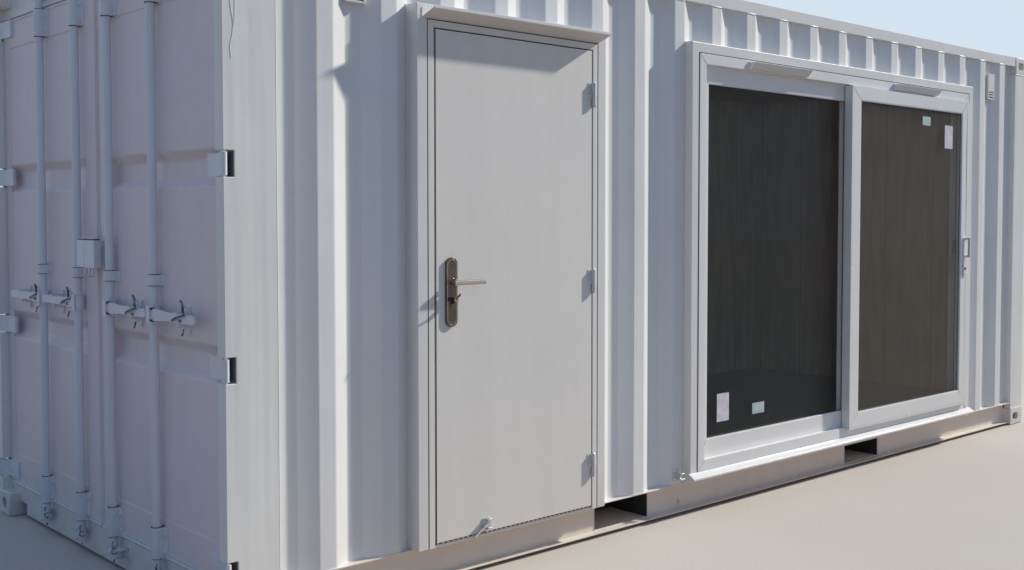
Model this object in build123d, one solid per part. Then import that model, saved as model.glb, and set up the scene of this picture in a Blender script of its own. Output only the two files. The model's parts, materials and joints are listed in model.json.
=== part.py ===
from build123d import *
import os

# Overall size, to the outer faces of the corner castings
length = 6058.0
width = 2438.0
height = 2591.0
door_end = -length / 2
blind_end = length / 2
front = -width / 2
back = width / 2

# Corner castings
casting_x = 178.0
casting_y = 162.0
casting_z = 118.0
casting_wall = 24.0
casting_inner_wall = 12.0
casting_edge = 5.0
end_hole = (63.5, 51.0)
side_hole = (79.5, 51.0)
base_hole = (124.5, 63.5)
base_hole_corner = 18.0
hole_from_end = 101.5
hole_from_side = 89.0

# Steel frame
frame_inset = 4.0
roof_drop = 6.0
base_lift = 17.0
rail_height = 143.0
rail_wall = 4.5
rail_upper_flange = 50.0
rail_lower_flange = 42.0
top_tube = 60.0
top_tube_wall = 4.0
post_wall = 6.0
post_side = 205.0
post_return = 42.0
post_face = 58.0
post_stop_x = 102.0
post_stop_end = 165.0
post_stop_y = 112.0
blind_post_side = 178.0
blind_post_face = 145.0
sill_setback = 53.0
sill_wall = 5.0
sill_notch = (85.0, 53.0)
sill_above_casting = 27.0
header_setback = 50.0
header_below_casting = 49.0
stop_lip = 26.0

# Floor
cross_member_pitch = 310.0
cross_member_flange = 45.0
cross_member_wall = 4.0
floor_thickness = 28.0
floor_seat = 17.0
pocket_length = 360.0
pocket_height = 115.0
pocket_spacing = 2050.0
pocket_plate = 5.0
pocket_strap = 250.0

# Corrugated sheets
sheet = 2.0
wall_offset = 6.0
rib_depth = 36.0
rib_pitch = 278.0
rib_face = 72.0
rib_slope = 70.0
first_rib = 367.0
end_rib_depth = 45.0
end_rib_pitch = 250.0
end_rib_face = 110.0
end_rib_slope = 18.0
first_end_rib = 164.0
roof_rib_depth = 20.0
roof_rib_pitch = 209.0
roof_rib_face = 91.0
roof_rib_slope = 14.0
first_roof_rib = 260.0

# Lining boards
lining = 12.0
lining_gap = 62.0
ceiling_drop = 105.0
board_joint = 1.0

# Personnel door, in a steel surround welded into the front wall
door_left = 776.0
door_width = 1026.0
door_head_band = 225.0
surround_proud = 40.0
door_tube = 50.0
door_head_tube = 57.0
frame_joint = 2.0
door_frame_face = 28.0
door_stop = 20.0
leaf_gap = 5.0
leaf_thickness = 44.0
leaf_setback = 2.0
threshold = 12.0
threshold_setback = 6.0
knuckle_radius = 8.0
knuckle_length = 100.0
knuckle_gap = 1.0
hinge_pin_radius = 4.0
hinge_pin_top = 6.0
pin_clearance = 0.4
hinge_strap = 3.0
hinge_strap_width = 24.0
first_hinge_from_foot = 187.0
last_hinge_from_head = 193.0
plate_width = 55.0
plate_height = 277.0
plate_thickness = 10.0
plate_from_edge = 48.0
plate_foot = 1036.0
lever_height = 1213.0
lever_reach = 36.0
lever_length = 145.0
lever_grip = (14.0, 20.0)
lever_bevel = 4.0
lever_neck = 9.0
lever_clearance = 0.3
spindle = 8.0
spindle_hole = 6.5
cylinder_drop = 67.0
cylinder_radius = 8.5
cylinder_proud = (26.0, 12.0)
canopy_reach = 80.0
canopy_drop = 27.0
canopy_lip = 12.0
canopy_sheet = 3.0
canopy_left = 800.0
canopy_right = 1756.0
canopy_below_head = 28.0

# Sliding patio door, in its own steel surround
patio_from_door = 588.0
patio_from_blind_end = 868.0
patio_head_band = 200.0
patio_tube = 54.0
patio_head_tube = 50.0
pvc_face = 50.0
pvc_proud = 42.0
fixed_face = 86.0
fixed_foot_face = 92.0
sash_depth = 50.0
sash_overlap = 72.0
sliding_front = 62.0
sliding_outer_face = 64.0
sliding_inner_face = 90.0
sliding_rail_face = 76.0
rim_side = 26.0
rim_foot = 19.0
rim_depth = 15.0
fixed_front = 6.0
sash_clearance = 5.0
track_width = 8.0
track_gap = 0.3
glass_thickness = 24.0
bead = 14.0
sill_front = 75.0
sill_fall = 22.0
sill_lip = 10.0
sill_overhang = 10.0
sill_plate = 4.0
vent_size = (506.0, 36.0, 12.0)
vent_shares = (0.2355, 0.7493)
pull_plate = (32.0, 248.0, 8.0)
pull_foot = 1092.0
pull_grip = 127.0
pull_reach = 42.0
pull_bar = (18.0, 14.0)

# Cargo doors
cargo_setback = 48.0
cargo_thickness = 50.0
cargo_side_gap = 6.0
cargo_meeting_gap = 12.0
cargo_end_gap = 6.0
cargo_foot_rail = 149.0
cargo_head_rail = 135.0
cargo_outer_stile = 57.0
cargo_inner_stile = 134.0
panel_setback = 3.0
swage_depth = 30.0
swage_height = 134.0
swage_slope = 34.0
swage_heights = (945.0, 1650.0)
hinge_from_foot = 80.0
hinge_from_head = 51.0
hinge_count = 4
hinge_height = 80.0
hinge_room = 6.0
hinge_axis = 12.0
hinge_barrel = 10.0
hinge_pin = 6.0
hinge_blade = 12.5
hinge_crank = 38.0
hinge_crank_room = 18.0
hinge_reach = 185.0
recess_depth = 46.0
recess_plate = 6.0
bar_radius = 17.0
bar_setback = 22.0
outer_bar_from_middle = 599.0
inner_bar_from_middle = 174.0
bar_from_ground = 77.0
bar_from_top = 98.0
bar_clearance = 0.5
guide_width = 90.0
guide_cover = 5.0
guide_flange = 8.0
end_guide_height = 120.0
middle_guide_height = 40.0
foot_guide_from_edge = 64.0
head_guide_from_edge = 73.0
middle_guide_above_handle = 130.0
cam_thickness = 22.0
cam_reach = 44.0
cam_collar = 5.0
cam_width = 18.0
keeper_room = 6.0
keeper_plate = 8.0
keeper_width = 46.0
keeper_side_gap = 12.0
handle_height = 1100.0
handle_length = 385.0
handle_thickness = 10.0
handle_proud = 2.0
handle_depth = 34.0
handle_root_depth = 46.0
handle_taper = 70.0
hub_radius = 24.0
hub_height = 60.0
catch_reach = 248.0
catch_width = 34.0
catch_height = 128.0
catch_arm = 8.0
catch_plate = 8.0
catch_room = 5.0
catch_nose = 7.0
catch_nose_drop = 12.0
lock_box_width = 177.0
lock_box_right = 68.0
lock_box_height = 132.0
lock_box_depth = 62.0
lock_box_above_handle = 150.0
lock_box_wall = 4.0

# Small fittings on the front wall
ventilator_flare = 13.0
ventilator_room = 2.0
ventilator_base = 6.0
ventilator_proud = 28.0
ventilator_height = 171.0
ventilator_drop = 251.0
louvre_count = 3
louvre_slot = (68.0, 9.0, 10.0)
louvre_pitch = 17.0
holder_distance = 594.0
holder_height = 212.0
holder_width = 44.0
holder_plate = 4.0
holder_lug = 8.0
holder_reach = 26.0
holder_arm = (82.0, 6.0, 9.0)
holder_arm_slope = 32.0
catch_from_fold = 10.0
catch_clip = (28.0, 16.0, 7.0)
catch_clip_gap = 20.0
catch_stem = 8.0
catch_base = (40.0, 60.0)

# Heights and planes that follow from the sizes above
base_top = base_lift + rail_height
roof_top = height - roof_drop
rail_foot = roof_top - top_tube
post_foot = casting_z
post_head = height - casting_z
web_plane = frame_inset + rail_upper_flange
floor_underside = base_top - floor_seat
floor_top = floor_underside + floor_thickness
ceiling_underside = rail_foot - ceiling_drop
wall_inner = wall_offset + rib_depth + sheet
hollow_level = wall_offset + rib_depth
pocket_foot = floor_underside - pocket_plate - pocket_height
door_right = door_left + door_width
door_top = rail_foot - door_head_band
patio_left = door_right + patio_from_door
patio_right = length - patio_from_blind_end
patio_top = rail_foot - patio_head_band
door_opening_foot = post_foot + sill_above_casting
door_opening_head = post_head - header_below_casting

parts = {}


def block(x0, x1, y0, y1, z0, z1):
    """A box between two corners."""
    middle = ((x0 + x1) / 2, (y0 + y1) / 2, (z0 + z1) / 2)
    return Pos(*middle) * Box(x1 - x0, y1 - y0, z1 - z0)


def front_block(x0, x1, depth0, depth1, z0, z1):
    """A box placed from the door end along the front wall, with its depth into the cabin."""
    return block(door_end + x0, door_end + x1, front + depth0, front + depth1, z0, z1)


def outline(points):
    """A face with straight edges."""
    return make_face(Polyline(*points, close=True))


def faceted_round(radius):
    """A small round face in twelve facets."""
    return RegularPolygon(radius, 12, major_radius=False, rotation=15)


def faceted_slot(long, high):
    """An oval face whose ends have facets."""
    reach = (long - high) / 2
    ends = Pos(-reach, 0) * faceted_round(high / 2) + Pos(reach, 0) * faceted_round(high / 2)
    return Rectangle(2 * reach, high) + ends


def upright_rod(x, y, z0, z1, radius):
    """A round rod along Z."""
    return Pos(x, y, z0) * extrude(faceted_round(radius), z1 - z0)


def mirrored(shape):
    """The same shape on the other long side."""
    return mirror(shape, about=Plane.XZ)


def both_sides(shape):
    """A shape on the front side and its mirror image at the back."""
    return [shape, mirrored(shape)]


# Corner castings: thick hollow boxes with an aperture in each outer face
def corner_casting():
    """The bottom casting of the front corner at the door end."""
    body = block(0, casting_x, 0, casting_y, 0, casting_z)
    body = chamfer(body.edges(), casting_edge)
    body -= block(casting_wall, casting_x - casting_inner_wall, casting_wall,
                  casting_y - casting_inner_wall, casting_wall, casting_z - casting_inner_wall)
    middle = casting_z / 2
    end = Plane((0, hole_from_side, middle), x_dir=(0, 1, 0), z_dir=(-1, 0, 0))
    side = Plane((hole_from_end, 0, middle), x_dir=(1, 0, 0), z_dir=(0, -1, 0))
    base = Plane((hole_from_end, hole_from_side, 0), x_dir=(1, 0, 0), z_dir=(0, 0, -1))
    for plane, size in ((end, end_hole), (side, side_hole)):
        body -= extrude(plane * faceted_slot(*size), -casting_wall * 1.5)
    aperture = chamfer(Rectangle(*base_hole).vertices(), base_hole_corner)
    return body - extrude(base * aperture, -casting_wall * 1.5)


foot_casting = Pos(door_end, front, 0) * corner_casting()
middle_plane = Plane.XY.offset(height / 2)
for end, casting in (("door_end", foot_casting), ("blind_end", mirror(foot_casting, Plane.YZ))):
    feet = both_sides(casting)
    parts[end + "_foot_castings"] = feet
    parts[end + "_head_castings"] = [mirror(foot, about=middle_plane) for foot in feet]


# Corner posts: folded plate, hollow, with a stop for the doors at the door end
first_hinge = door_opening_foot + hinge_from_foot
last_hinge = door_opening_head - hinge_from_head
hinge_pitch = (last_hinge - first_hinge) / (hinge_count - 1)
hinge_heights = [first_hinge + hinge_pitch * n for n in range(hinge_count)]
recess_height = hinge_height + 2 * hinge_room
post_outline = [
    (frame_inset, frame_inset),
    (post_side, frame_inset),
    (post_side, frame_inset + post_return),
    (post_stop_end, frame_inset + post_return),
    (post_stop_end, post_stop_y),
    (post_stop_x, post_stop_y),
    (post_stop_x, frame_inset + post_face),
    (frame_inset, frame_inset + post_face),
]


def hollow_post(points):
    """A tall hollow section between the bottom and top castings."""
    outer = outline(points)
    inner = offset(outer, amount=-post_wall, kind=Kind.INTERSECTION)
    return Pos(0, 0, post_foot) * extrude(outer - inner, post_head - post_foot)


def beside_castings(post, x0, x1):
    """The post with its strip past the castings reaching from the bottom rail to the top rail."""
    post -= block(x0, x1, 0, casting_y, post_foot, base_top)
    strip = block(x0, x1, frame_inset, frame_inset + post_return, post_head, rail_foot)
    return post + strip - block(x0, x1 - post_wall, frame_inset + post_wall,
                                frame_inset + post_return - post_wall, post_head, rail_foot)


def door_post():
    """The front post at the door end, with a lined pocket for each hinge."""
    post = hollow_post(post_outline)
    inner_y = frame_inset + post_face
    for z in hinge_heights:
        top = min(z + recess_height / 2 + recess_plate, post_head)
        pocket = block(0, recess_depth, 0, inner_y, z - recess_height / 2, z + recess_height / 2)
        lined = block(frame_inset, recess_depth + recess_plate, frame_inset, inner_y,
                      z - recess_height / 2 - recess_plate, top)
        post = post + lined - pocket
    return Pos(door_end, front, 0) * beside_castings(post, casting_x, post_side)


blind_outline = [
    (-frame_inset, frame_inset),
    (-blind_post_side, frame_inset),
    (-blind_post_side, frame_inset + post_return),
    (-frame_inset - post_return, frame_inset + post_return),
    (-frame_inset - post_return, blind_post_face),
    (-frame_inset, blind_post_face),
]
parts["door_end_posts"] = both_sides(door_post())
parts["blind_end_posts"] = both_sides(Pos(blind_end, front, 0) * hollow_post(blind_outline))


# Rails along the sides: an open channel at the bottom, a square tube at the top
def bottom_rail():
    """The front bottom rail, with its hollow outwards and a hole for each fork pocket."""
    web_back = web_plane + rail_wall
    section = outline([
        (frame_inset, base_top - rail_wall),
        (frame_inset, base_top),
        (web_back, base_top),
        (web_back, base_lift),
        (web_plane - rail_lower_flange, base_lift),
        (web_plane - rail_lower_flange, base_lift + rail_wall),
        (web_plane, base_lift + rail_wall),
        (web_plane, base_top - rail_wall),
    ])
    plane = Plane((door_end + casting_x, front, 0), x_dir=(0, 1, 0), z_dir=(1, 0, 0))
    rail = extrude(plane * section, length - 2 * casting_x)
    for x in (-pocket_spacing / 2, pocket_spacing / 2):
        rail -= block(x - pocket_length / 2, x + pocket_length / 2, front, front + 2 * web_back,
                      pocket_foot, pocket_foot + pocket_height)
    return rail


def tube_along_x(x0, x1, y0, z0, size_y, size_z, wall):
    """A rectangular tube along the cabin."""
    outer = block(x0, x1, y0, y0 + size_y, z0, z0 + size_z)
    return outer - block(x0, x1, y0 + wall, y0 + size_y - wall, z0 + wall, z0 + size_z - wall)


def tube_along_y(y0, y1, x0, z0, size_x, size_z, wall):
    """A rectangular tube across the cabin."""
    outer = block(x0, x0 + size_x, y0, y1, z0, z0 + size_z)
    return outer - block(x0 + wall, x0 + size_x - wall, y0, y1, z0 + wall, z0 + size_z - wall)


parts["bottom_side_rails"] = both_sides(bottom_rail())
top_rail = tube_along_x(door_end + casting_x, blind_end - casting_x, front + frame_inset, rail_foot,
                        top_tube, top_tube, top_tube_wall)
parts["top_side_rails"] = both_sides(top_rail)

# Door header and sill, between the castings and the posts of the door end
stop_depth = post_stop_end - post_stop_x
header_x = door_end + header_setback
header = tube_along_y(front + casting_y, back - casting_y, header_x, post_head,
                      post_stop_end - header_setback, roof_top - post_head, sill_wall)
header += tube_along_y(front + frame_inset + post_face, back - frame_inset - post_face, header_x,
                       door_opening_head, post_stop_x - header_setback,
                       post_head - door_opening_head, sill_wall)
header += tube_along_y(front + post_stop_y, back - post_stop_y, door_end + post_stop_x,
                       door_opening_head - stop_lip, stop_depth,
                       post_head - door_opening_head + stop_lip, sill_wall)
parts["door_header"] = header

sill_x = door_end + sill_setback
sill = tube_along_y(front + casting_y, back - casting_y, sill_x, base_lift,
                    post_stop_end - sill_setback, post_foot - base_lift, sill_wall)
sill += tube_along_y(front + frame_inset + post_face, back - frame_inset - post_face, sill_x,
                     post_foot, post_stop_x - sill_setback, door_opening_foot - post_foot,
                     sill_wall)
sill += tube_along_y(front + post_stop_y, back - post_stop_y, door_end + post_stop_x, post_foot,
                     stop_depth, floor_top - post_foot, sill_wall)
for side in both_sides(block(sill_x, door_end + post_stop_end, front + casting_y,
                             front + casting_y + sill_notch[0], base_lift,
                             base_lift + sill_notch[1])):
    sill -= side
parts["door_sill"] = sill

blind_rail_x = blind_end - frame_inset - top_tube
blind_foot_rail = tube_along_y(front + casting_y, back - casting_y, blind_rail_x, base_lift,
                               top_tube, rail_height, top_tube_wall)
blind_head_rail = tube_along_y(front + casting_y, back - casting_y, blind_rail_x, rail_foot,
                               top_tube, top_tube, top_tube_wall)
parts["blind_end_rails"] = [blind_foot_rail, blind_head_rail]


# Floor: channel cross members, lined fork pockets and a plywood deck
def cross_member(x):
    """One channel across the cabin, with its hollow towards the blind end."""
    y0 = front + web_plane + rail_wall
    member = block(x, x + cross_member_flange, y0, -y0, base_lift + rail_wall, floor_underside)
    return member - block(x + cross_member_wall, x + cross_member_flange, y0, -y0,
                          base_lift + rail_wall + cross_member_wall,
                          floor_underside - cross_member_wall)


first_member = door_end + post_stop_end + cross_member_pitch
member_count = int((blind_rail_x - first_member - cross_member_flange) // cross_member_pitch) + 1
pocket_edges = []
for x in (-pocket_spacing / 2, pocket_spacing / 2):
    pocket_edges += [x - pocket_length / 2 - cross_member_flange, x + pocket_length / 2]
member_places = [first_member + cross_member_pitch * n for n in range(member_count)]
clear_of_pockets = []
for x in member_places:
    if all(abs(x - edge) > 2 * cross_member_flange for edge in pocket_edges):
        if all(abs(x - middle) > pocket_length / 2 + cross_member_flange
               for middle in (-pocket_spacing / 2, pocket_spacing / 2)):
            clear_of_pockets.append(x)
parts["cross_members"] = [cross_member(x) for x in clear_of_pockets + pocket_edges]

pocket_plates = []
web_back_y = front + web_plane + rail_wall
for x in (-pocket_spacing / 2, pocket_spacing / 2):
    x0, x1 = x - pocket_length / 2, x + pocket_length / 2
    pocket_plates.append(block(x0, x1, web_back_y, -web_back_y, floor_underside - pocket_plate,
                               floor_underside))
    pocket_plates += both_sides(block(x0, x1, web_back_y, web_back_y + pocket_strap,
                                      pocket_foot - pocket_plate, pocket_foot))
parts["fork_pockets"] = pocket_plates
parts["floor"] = block(door_end + post_stop_end + board_joint, blind_rail_x, front + lining_gap,
                       back - lining_gap, floor_underside, floor_top)


# Corrugated sheets, folded from one profile
def rib_starts(first, pitch, face, slope, end):
    """Where each rib of a folded sheet begins."""
    starts = []
    x = first
    while x + face + slope < end:
        starts.append(x)
        x += pitch
    return starts


def corrugation(start, end, ribs, face, slope, depth):
    """The outline of a folded sheet: start and end lie at the inner level, ribs stand outwards."""
    inner = [(start, depth)]
    for x in ribs:
        inner += [(x - slope, depth), (x, 0), (x + face, 0), (x + face + slope, depth)]
    inner.append((end, depth))
    return outline(inner + [(px, py + sheet) for px, py in reversed(inner)])


wall_end = length - blind_post_side
wall_ribs = rib_starts(first_rib, rib_pitch, rib_face, rib_slope, wall_end)
front_profile = corrugation(post_side, wall_end, wall_ribs, rib_face, rib_slope, rib_depth)
front_sheet = Pos(door_end, front + wall_offset, base_top) * extrude(front_profile,
                                                                     rail_foot - base_top)


def sheet_piece(x0, x1, z0, z1):
    """The part of the front wall's sheet between two places and two heights."""
    return front_sheet & front_block(x0, x1, 0, wall_inner + rib_depth, z0, z1)


parts["back_wall_sheet"] = mirrored(front_sheet)
parts["front_wall_sheets"] = [
    sheet_piece(post_side, door_left, base_top, rail_foot),
    sheet_piece(door_left, door_right, door_top, rail_foot),
    sheet_piece(door_right, patio_left, base_top, rail_foot),
    sheet_piece(patio_left, patio_right, patio_top, rail_foot),
    sheet_piece(patio_right, wall_end, base_top, rail_foot),
]

end_start = frame_inset + post_return
end_ribs = rib_starts(first_end_rib, end_rib_pitch, end_rib_face, end_rib_slope, width - end_start)
end_profile = corrugation(end_start, width - end_start, end_ribs, end_rib_face, end_rib_slope,
                          end_rib_depth)
end_plane = Plane((blind_end - wall_offset, front, base_top), x_dir=(0, 1, 0), z_dir=(0, 0, 1))
end_sheet = extrude(end_plane * end_profile, rail_foot - base_top)
for post in both_sides(block(blind_end - wall_inner - end_rib_depth, blind_end, front,
                             front + blind_post_face, base_top, rail_foot)):
    end_sheet -= post
for corner in both_sides(block(blind_end - casting_x, blind_end, front, front + casting_y,
                               post_head, height)):
    end_sheet -= corner
parts["blind_end_sheet"] = end_sheet

roof_end = length - frame_inset - top_tube
roof_ribs = rib_starts(first_roof_rib, roof_rib_pitch, roof_rib_face, roof_rib_slope, roof_end)
roof_profile = corrugation(post_stop_end, roof_end, roof_ribs, roof_rib_face, roof_rib_slope,
                           roof_rib_depth)
roof_plane = Plane((door_end, front + frame_inset + top_tube, roof_top), x_dir=(1, 0, 0),
                   z_dir=(0, 1, 0))
roof_span = width - 2 * (frame_inset + top_tube)
roof_sheet = extrude(roof_plane * roof_profile, roof_span)
for x0, x1 in ((door_end, door_end + casting_x), (blind_end - casting_x, blind_end)):
    for corner in both_sides(block(x0, x1, front, front + casting_y, post_head, height)):
        roof_sheet -= corner
parts["roof_sheet"] = roof_sheet

# Lining boards stand on the floor and carry the ceiling
lining_start = post_stop_end + board_joint
lining_end = length - lining_gap - lining
inner_front = lining_gap + lining
back_lining = mirrored(front_block(lining_start, lining_end, lining_gap, inner_front, floor_top,
                                   ceiling_underside))
blind_end_lining = block(blind_end - lining_gap - lining, blind_end - lining_gap,
                         front + lining_gap, back - lining_gap, floor_top, ceiling_underside)
parts["ceiling_lining"] = block(door_end + lining_start, blind_end - lining_gap,
                                front + lining_gap, back - lining_gap, ceiling_underside,
                                ceiling_underside + lining)
door_inner_left = door_left + door_tube
door_inner_right = door_right - door_tube
patio_inner_left = patio_left + patio_tube
patio_inner_right = patio_right - patio_tube


def front_lining(x0, x1, z0):
    """One board of the front lining, from a height up to the ceiling."""
    return front_block(x0, x1, lining_gap, inner_front, z0, ceiling_underside)


parts["wall_lining"] = [
    back_lining,
    blind_end_lining,
    front_lining(lining_start, door_inner_left, floor_top),
    front_lining(door_inner_left + board_joint, door_inner_right - board_joint,
                 door_top - door_tube),
    front_lining(door_inner_right, patio_inner_left, floor_top),
    front_lining(patio_inner_left + board_joint, patio_inner_right - board_joint,
                 patio_top - patio_head_tube),
    front_lining(patio_inner_right, lining_end, floor_top),
]


# Personnel door: steel surround, rebated frame, flush leaf on three lift-off hinges
def portal(x0, x1, depth0, depth1, z0, z1, side, head):
    """Two uprights and a head between them, open at the foot."""
    return [
        front_block(x0, x0 + side, depth0, depth1, z0, z1),
        front_block(x1 - side, x1, depth0, depth1, z0, z1),
        front_block(x0 + side, x1 - side, depth0, depth1, z1 - head, z1),
    ]


frame_left = door_inner_left + frame_joint
frame_right = door_inner_right - frame_joint
frame_top = door_top - door_head_tube - frame_joint
leaf_top = frame_top - door_frame_face - leaf_gap
leaf_front = -surround_proud + leaf_setback
leaf_back = leaf_front + leaf_thickness
rebate_depth = leaf_back + leaf_setback
parts["door_surround"] = portal(door_left, door_right, -surround_proud, lining_gap, base_top,
                                door_top, door_tube, door_head_tube)
door_frame = portal(frame_left, frame_right, -surround_proud, rebate_depth, base_top, frame_top,
                    door_frame_face, door_frame_face)
door_frame += portal(frame_left, frame_right, rebate_depth, lining_gap, base_top, frame_top,
                     door_frame_face + door_stop, door_frame_face + door_stop)
door_frame.append(front_block(frame_left + door_frame_face, frame_right - door_frame_face,
                              -surround_proud + threshold_setback, rebate_depth, base_top,
                              base_top + threshold))
parts["door_frame"] = door_frame

leaf_left = frame_left + door_frame_face + leaf_gap
leaf_right = frame_right - door_frame_face - leaf_gap
leaf_foot = base_top + threshold + leaf_gap
plate_left = leaf_left + plate_from_edge
lever_x = plate_left + plate_width / 2
spindle_plane = Plane((door_end + lever_x, front + leaf_front, lever_height), z_dir=(0, 1, 0))
leaf = front_block(leaf_left, leaf_right, leaf_front, leaf_back, leaf_foot, leaf_top)
leaf -= extrude(spindle_plane * faceted_round(spindle_hole), leaf_thickness)
parts["door_leaf"] = leaf

pin_x = leaf_right + leaf_gap / 2
pin_depth = -surround_proud - knuckle_radius - knuckle_gap
first_door_hinge = leaf_foot + first_hinge_from_foot
last_door_hinge = leaf_top - last_hinge_from_head
door_hinge_heights = (first_door_hinge, (first_door_hinge + last_door_hinge) / 2, last_door_hinge)


def front_rod(x, depth, z0, z1, radius):
    """A round rod along Z, placed from the door end and the front face."""
    return upright_rod(door_end + x, front + depth, z0, z1, radius)


def hinge_solids(z):
    """The fixed lower half with its pin and the moving upper half of one hinge."""
    foot = z - knuckle_length / 2
    head = z + knuckle_length / 2
    seat = z - knuckle_gap / 2
    moving_foot = z + knuckle_gap / 2
    near, far = knuckle_radius / 2, knuckle_radius
    fixed = front_rod(pin_x, pin_depth, foot, seat, knuckle_radius)
    fixed += front_rod(pin_x, pin_depth, seat, head - hinge_pin_top, hinge_pin_radius)
    fixed += front_block(pin_x + near, pin_x + far, pin_depth, -surround_proud, foot, seat)
    fixed += front_block(pin_x + near, pin_x + hinge_strap_width, -surround_proud - hinge_strap,
                         -surround_proud, foot, seat)
    moving = front_rod(pin_x, pin_depth, moving_foot, head, knuckle_radius)
    moving += front_block(pin_x - far, pin_x - near, pin_depth, leaf_front, moving_foot, head)
    moving += front_block(leaf_right - hinge_strap_width, pin_x - near, leaf_front - hinge_strap,
                          leaf_front, moving_foot, head)
    moving -= front_rod(pin_x, pin_depth, moving_foot, head,
                               hinge_pin_radius + pin_clearance)
    return fixed, moving


door_hinges = [hinge_solids(z) for z in door_hinge_heights]
parts["door_hinge_knuckles"] = [fixed for fixed, moving in door_hinges]
parts["door_hinge_straps"] = [moving for fixed, moving in door_hinges]


def level_rod(x, depth0, depth1, z, radius):
    """A round rod along the depth, placed from the door end and the front face."""
    face = Pos(door_end + x, front + depth0, z) * Rot(90, 0, 0) * faceted_round(radius)
    return extrude(face, depth0 - depth1)


def handle_plate(face, sign, proud):
    """A long backplate with round ends, a spindle hole and a lock cylinder below it."""
    outer = face + sign * plate_thickness
    plane = Plane((door_end + lever_x, front + face, plate_foot + plate_height / 2),
                  x_dir=(0, 0, 1), z_dir=(0, sign, 0))
    plate = extrude(plane * SlotOverall(plate_height, plate_width), plate_thickness)
    plate -= level_rod(lever_x, face, outer, lever_height, spindle_hole)
    return plate + level_rod(lever_x, outer, outer + sign * proud, lever_height - cylinder_drop,
                               cylinder_radius)


def lever(root, sign):
    """One lever: a round neck from the plate and a bevelled grip towards the hinges."""
    end = root + sign * lever_reach
    grip_face = end - sign * lever_grip[0]
    neck = level_rod(lever_x, root, grip_face, lever_height, lever_neck)
    grip = front_block(lever_x - lever_neck, lever_x + lever_length, min(end, grip_face),
                       max(end, grip_face), lever_height - lever_grip[1] / 2,
                       lever_height + lever_grip[1] / 2)
    return neck + chamfer(grip.edges().filter_by(Axis.X), lever_bevel)


outer_root = leaf_front - plate_thickness - lever_clearance
inner_root = leaf_back + plate_thickness + lever_clearance
parts["door_handle_plates"] = [
    handle_plate(leaf_front, -1, cylinder_proud[0]),
    handle_plate(leaf_back, 1, cylinder_proud[1]),
]
parts["door_lever"] = [
    lever(outer_root, -1),
    lever(inner_root, 1),
    front_block(lever_x - spindle / 2, lever_x + spindle / 2, outer_root, inner_root,
                lever_height - spindle / 2, lever_height + spindle / 2),
]

# A bent drip canopy over the personnel door
canopy_plane = Plane((door_end + canopy_left, front - surround_proud, 0), x_dir=(0, -1, 0),
                     z_dir=(-1, 0, 0))
canopy_front_height = door_top - canopy_below_head
canopy_back_height = canopy_front_height - canopy_drop
canopy_section = outline([
    (0, canopy_back_height),
    (0, canopy_front_height + canopy_lip),
    (canopy_sheet, canopy_front_height + canopy_lip),
    (canopy_sheet, canopy_back_height + canopy_sheet),
    (canopy_reach - canopy_sheet, canopy_front_height + canopy_sheet),
    (canopy_reach - canopy_sheet, canopy_front_height + canopy_lip),
    (canopy_reach, canopy_front_height + canopy_lip),
    (canopy_reach, canopy_front_height),
])
parts["door_canopy"] = extrude(canopy_plane * canopy_section, canopy_left - canopy_right)


# Patio door: steel surround, PVC frame, a fixed sash behind and a sliding sash in front
def ring(x0, x1, depth0, depth1, z0, z1, left, right, head, foot):
    """Four mitred members around an opening, each with its own width of face."""
    outer = [(x0, z0), (x1, z0), (x1, z1), (x0, z1)]
    inner = [(x0 + left, z0 + foot), (x1 - right, z0 + foot), (x1 - right, z1 - head),
             (x0 + left, z1 - head)]
    plane = Plane((door_end, front + depth1, 0), x_dir=(1, 0, 0), z_dir=(0, -1, 0))
    members = []
    for n in range(4):
        after = (n + 1) % 4
        face = outline([outer[n], outer[after], inner[after], inner[n]])
        members.append(extrude(plane * face, depth1 - depth0))
    return members


parts["patio_surround"] = ring(patio_left, patio_right, -surround_proud, lining_gap, base_top,
                               patio_top, patio_tube, patio_tube, patio_head_tube, patio_tube)
pvc_left = patio_inner_left + frame_joint
pvc_right = patio_inner_right - frame_joint
pvc_foot = base_top + patio_tube
pvc_top = patio_top - patio_head_tube - frame_joint
parts["patio_frame"] = ring(pvc_left, pvc_right, -pvc_proud, lining_gap, pvc_foot, pvc_top,
                            pvc_face, pvc_face, pvc_face, pvc_face)
day_left = pvc_left + pvc_face
day_right = pvc_right - pvc_face
day_foot = pvc_foot + pvc_face
day_top = pvc_top - pvc_face
track_depth = -sliding_front + sash_depth / 2
parts["patio_frame"].append(
    front_block(day_left, day_right, track_depth - track_width / 2, track_depth + track_width / 2,
                day_foot, day_foot + sash_clearance - track_gap))


def glazed_sash(x0, x1, depth0, z0, z1, left, right, head, foot):
    """A sash with a glass unit, seated on the bead inside its four members."""
    glass_front = depth0 + (sash_depth - glass_thickness) / 2
    frame = ring(x0, x1, depth0, depth0 + sash_depth, z0, z1, left, right, head, foot)
    glass = front_block(x0 + left - bead, x1 - right + bead, glass_front,
                        glass_front + glass_thickness, z0 + foot - bead, z1 - head + bead)
    return [member - glass for member in frame], glass


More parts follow.
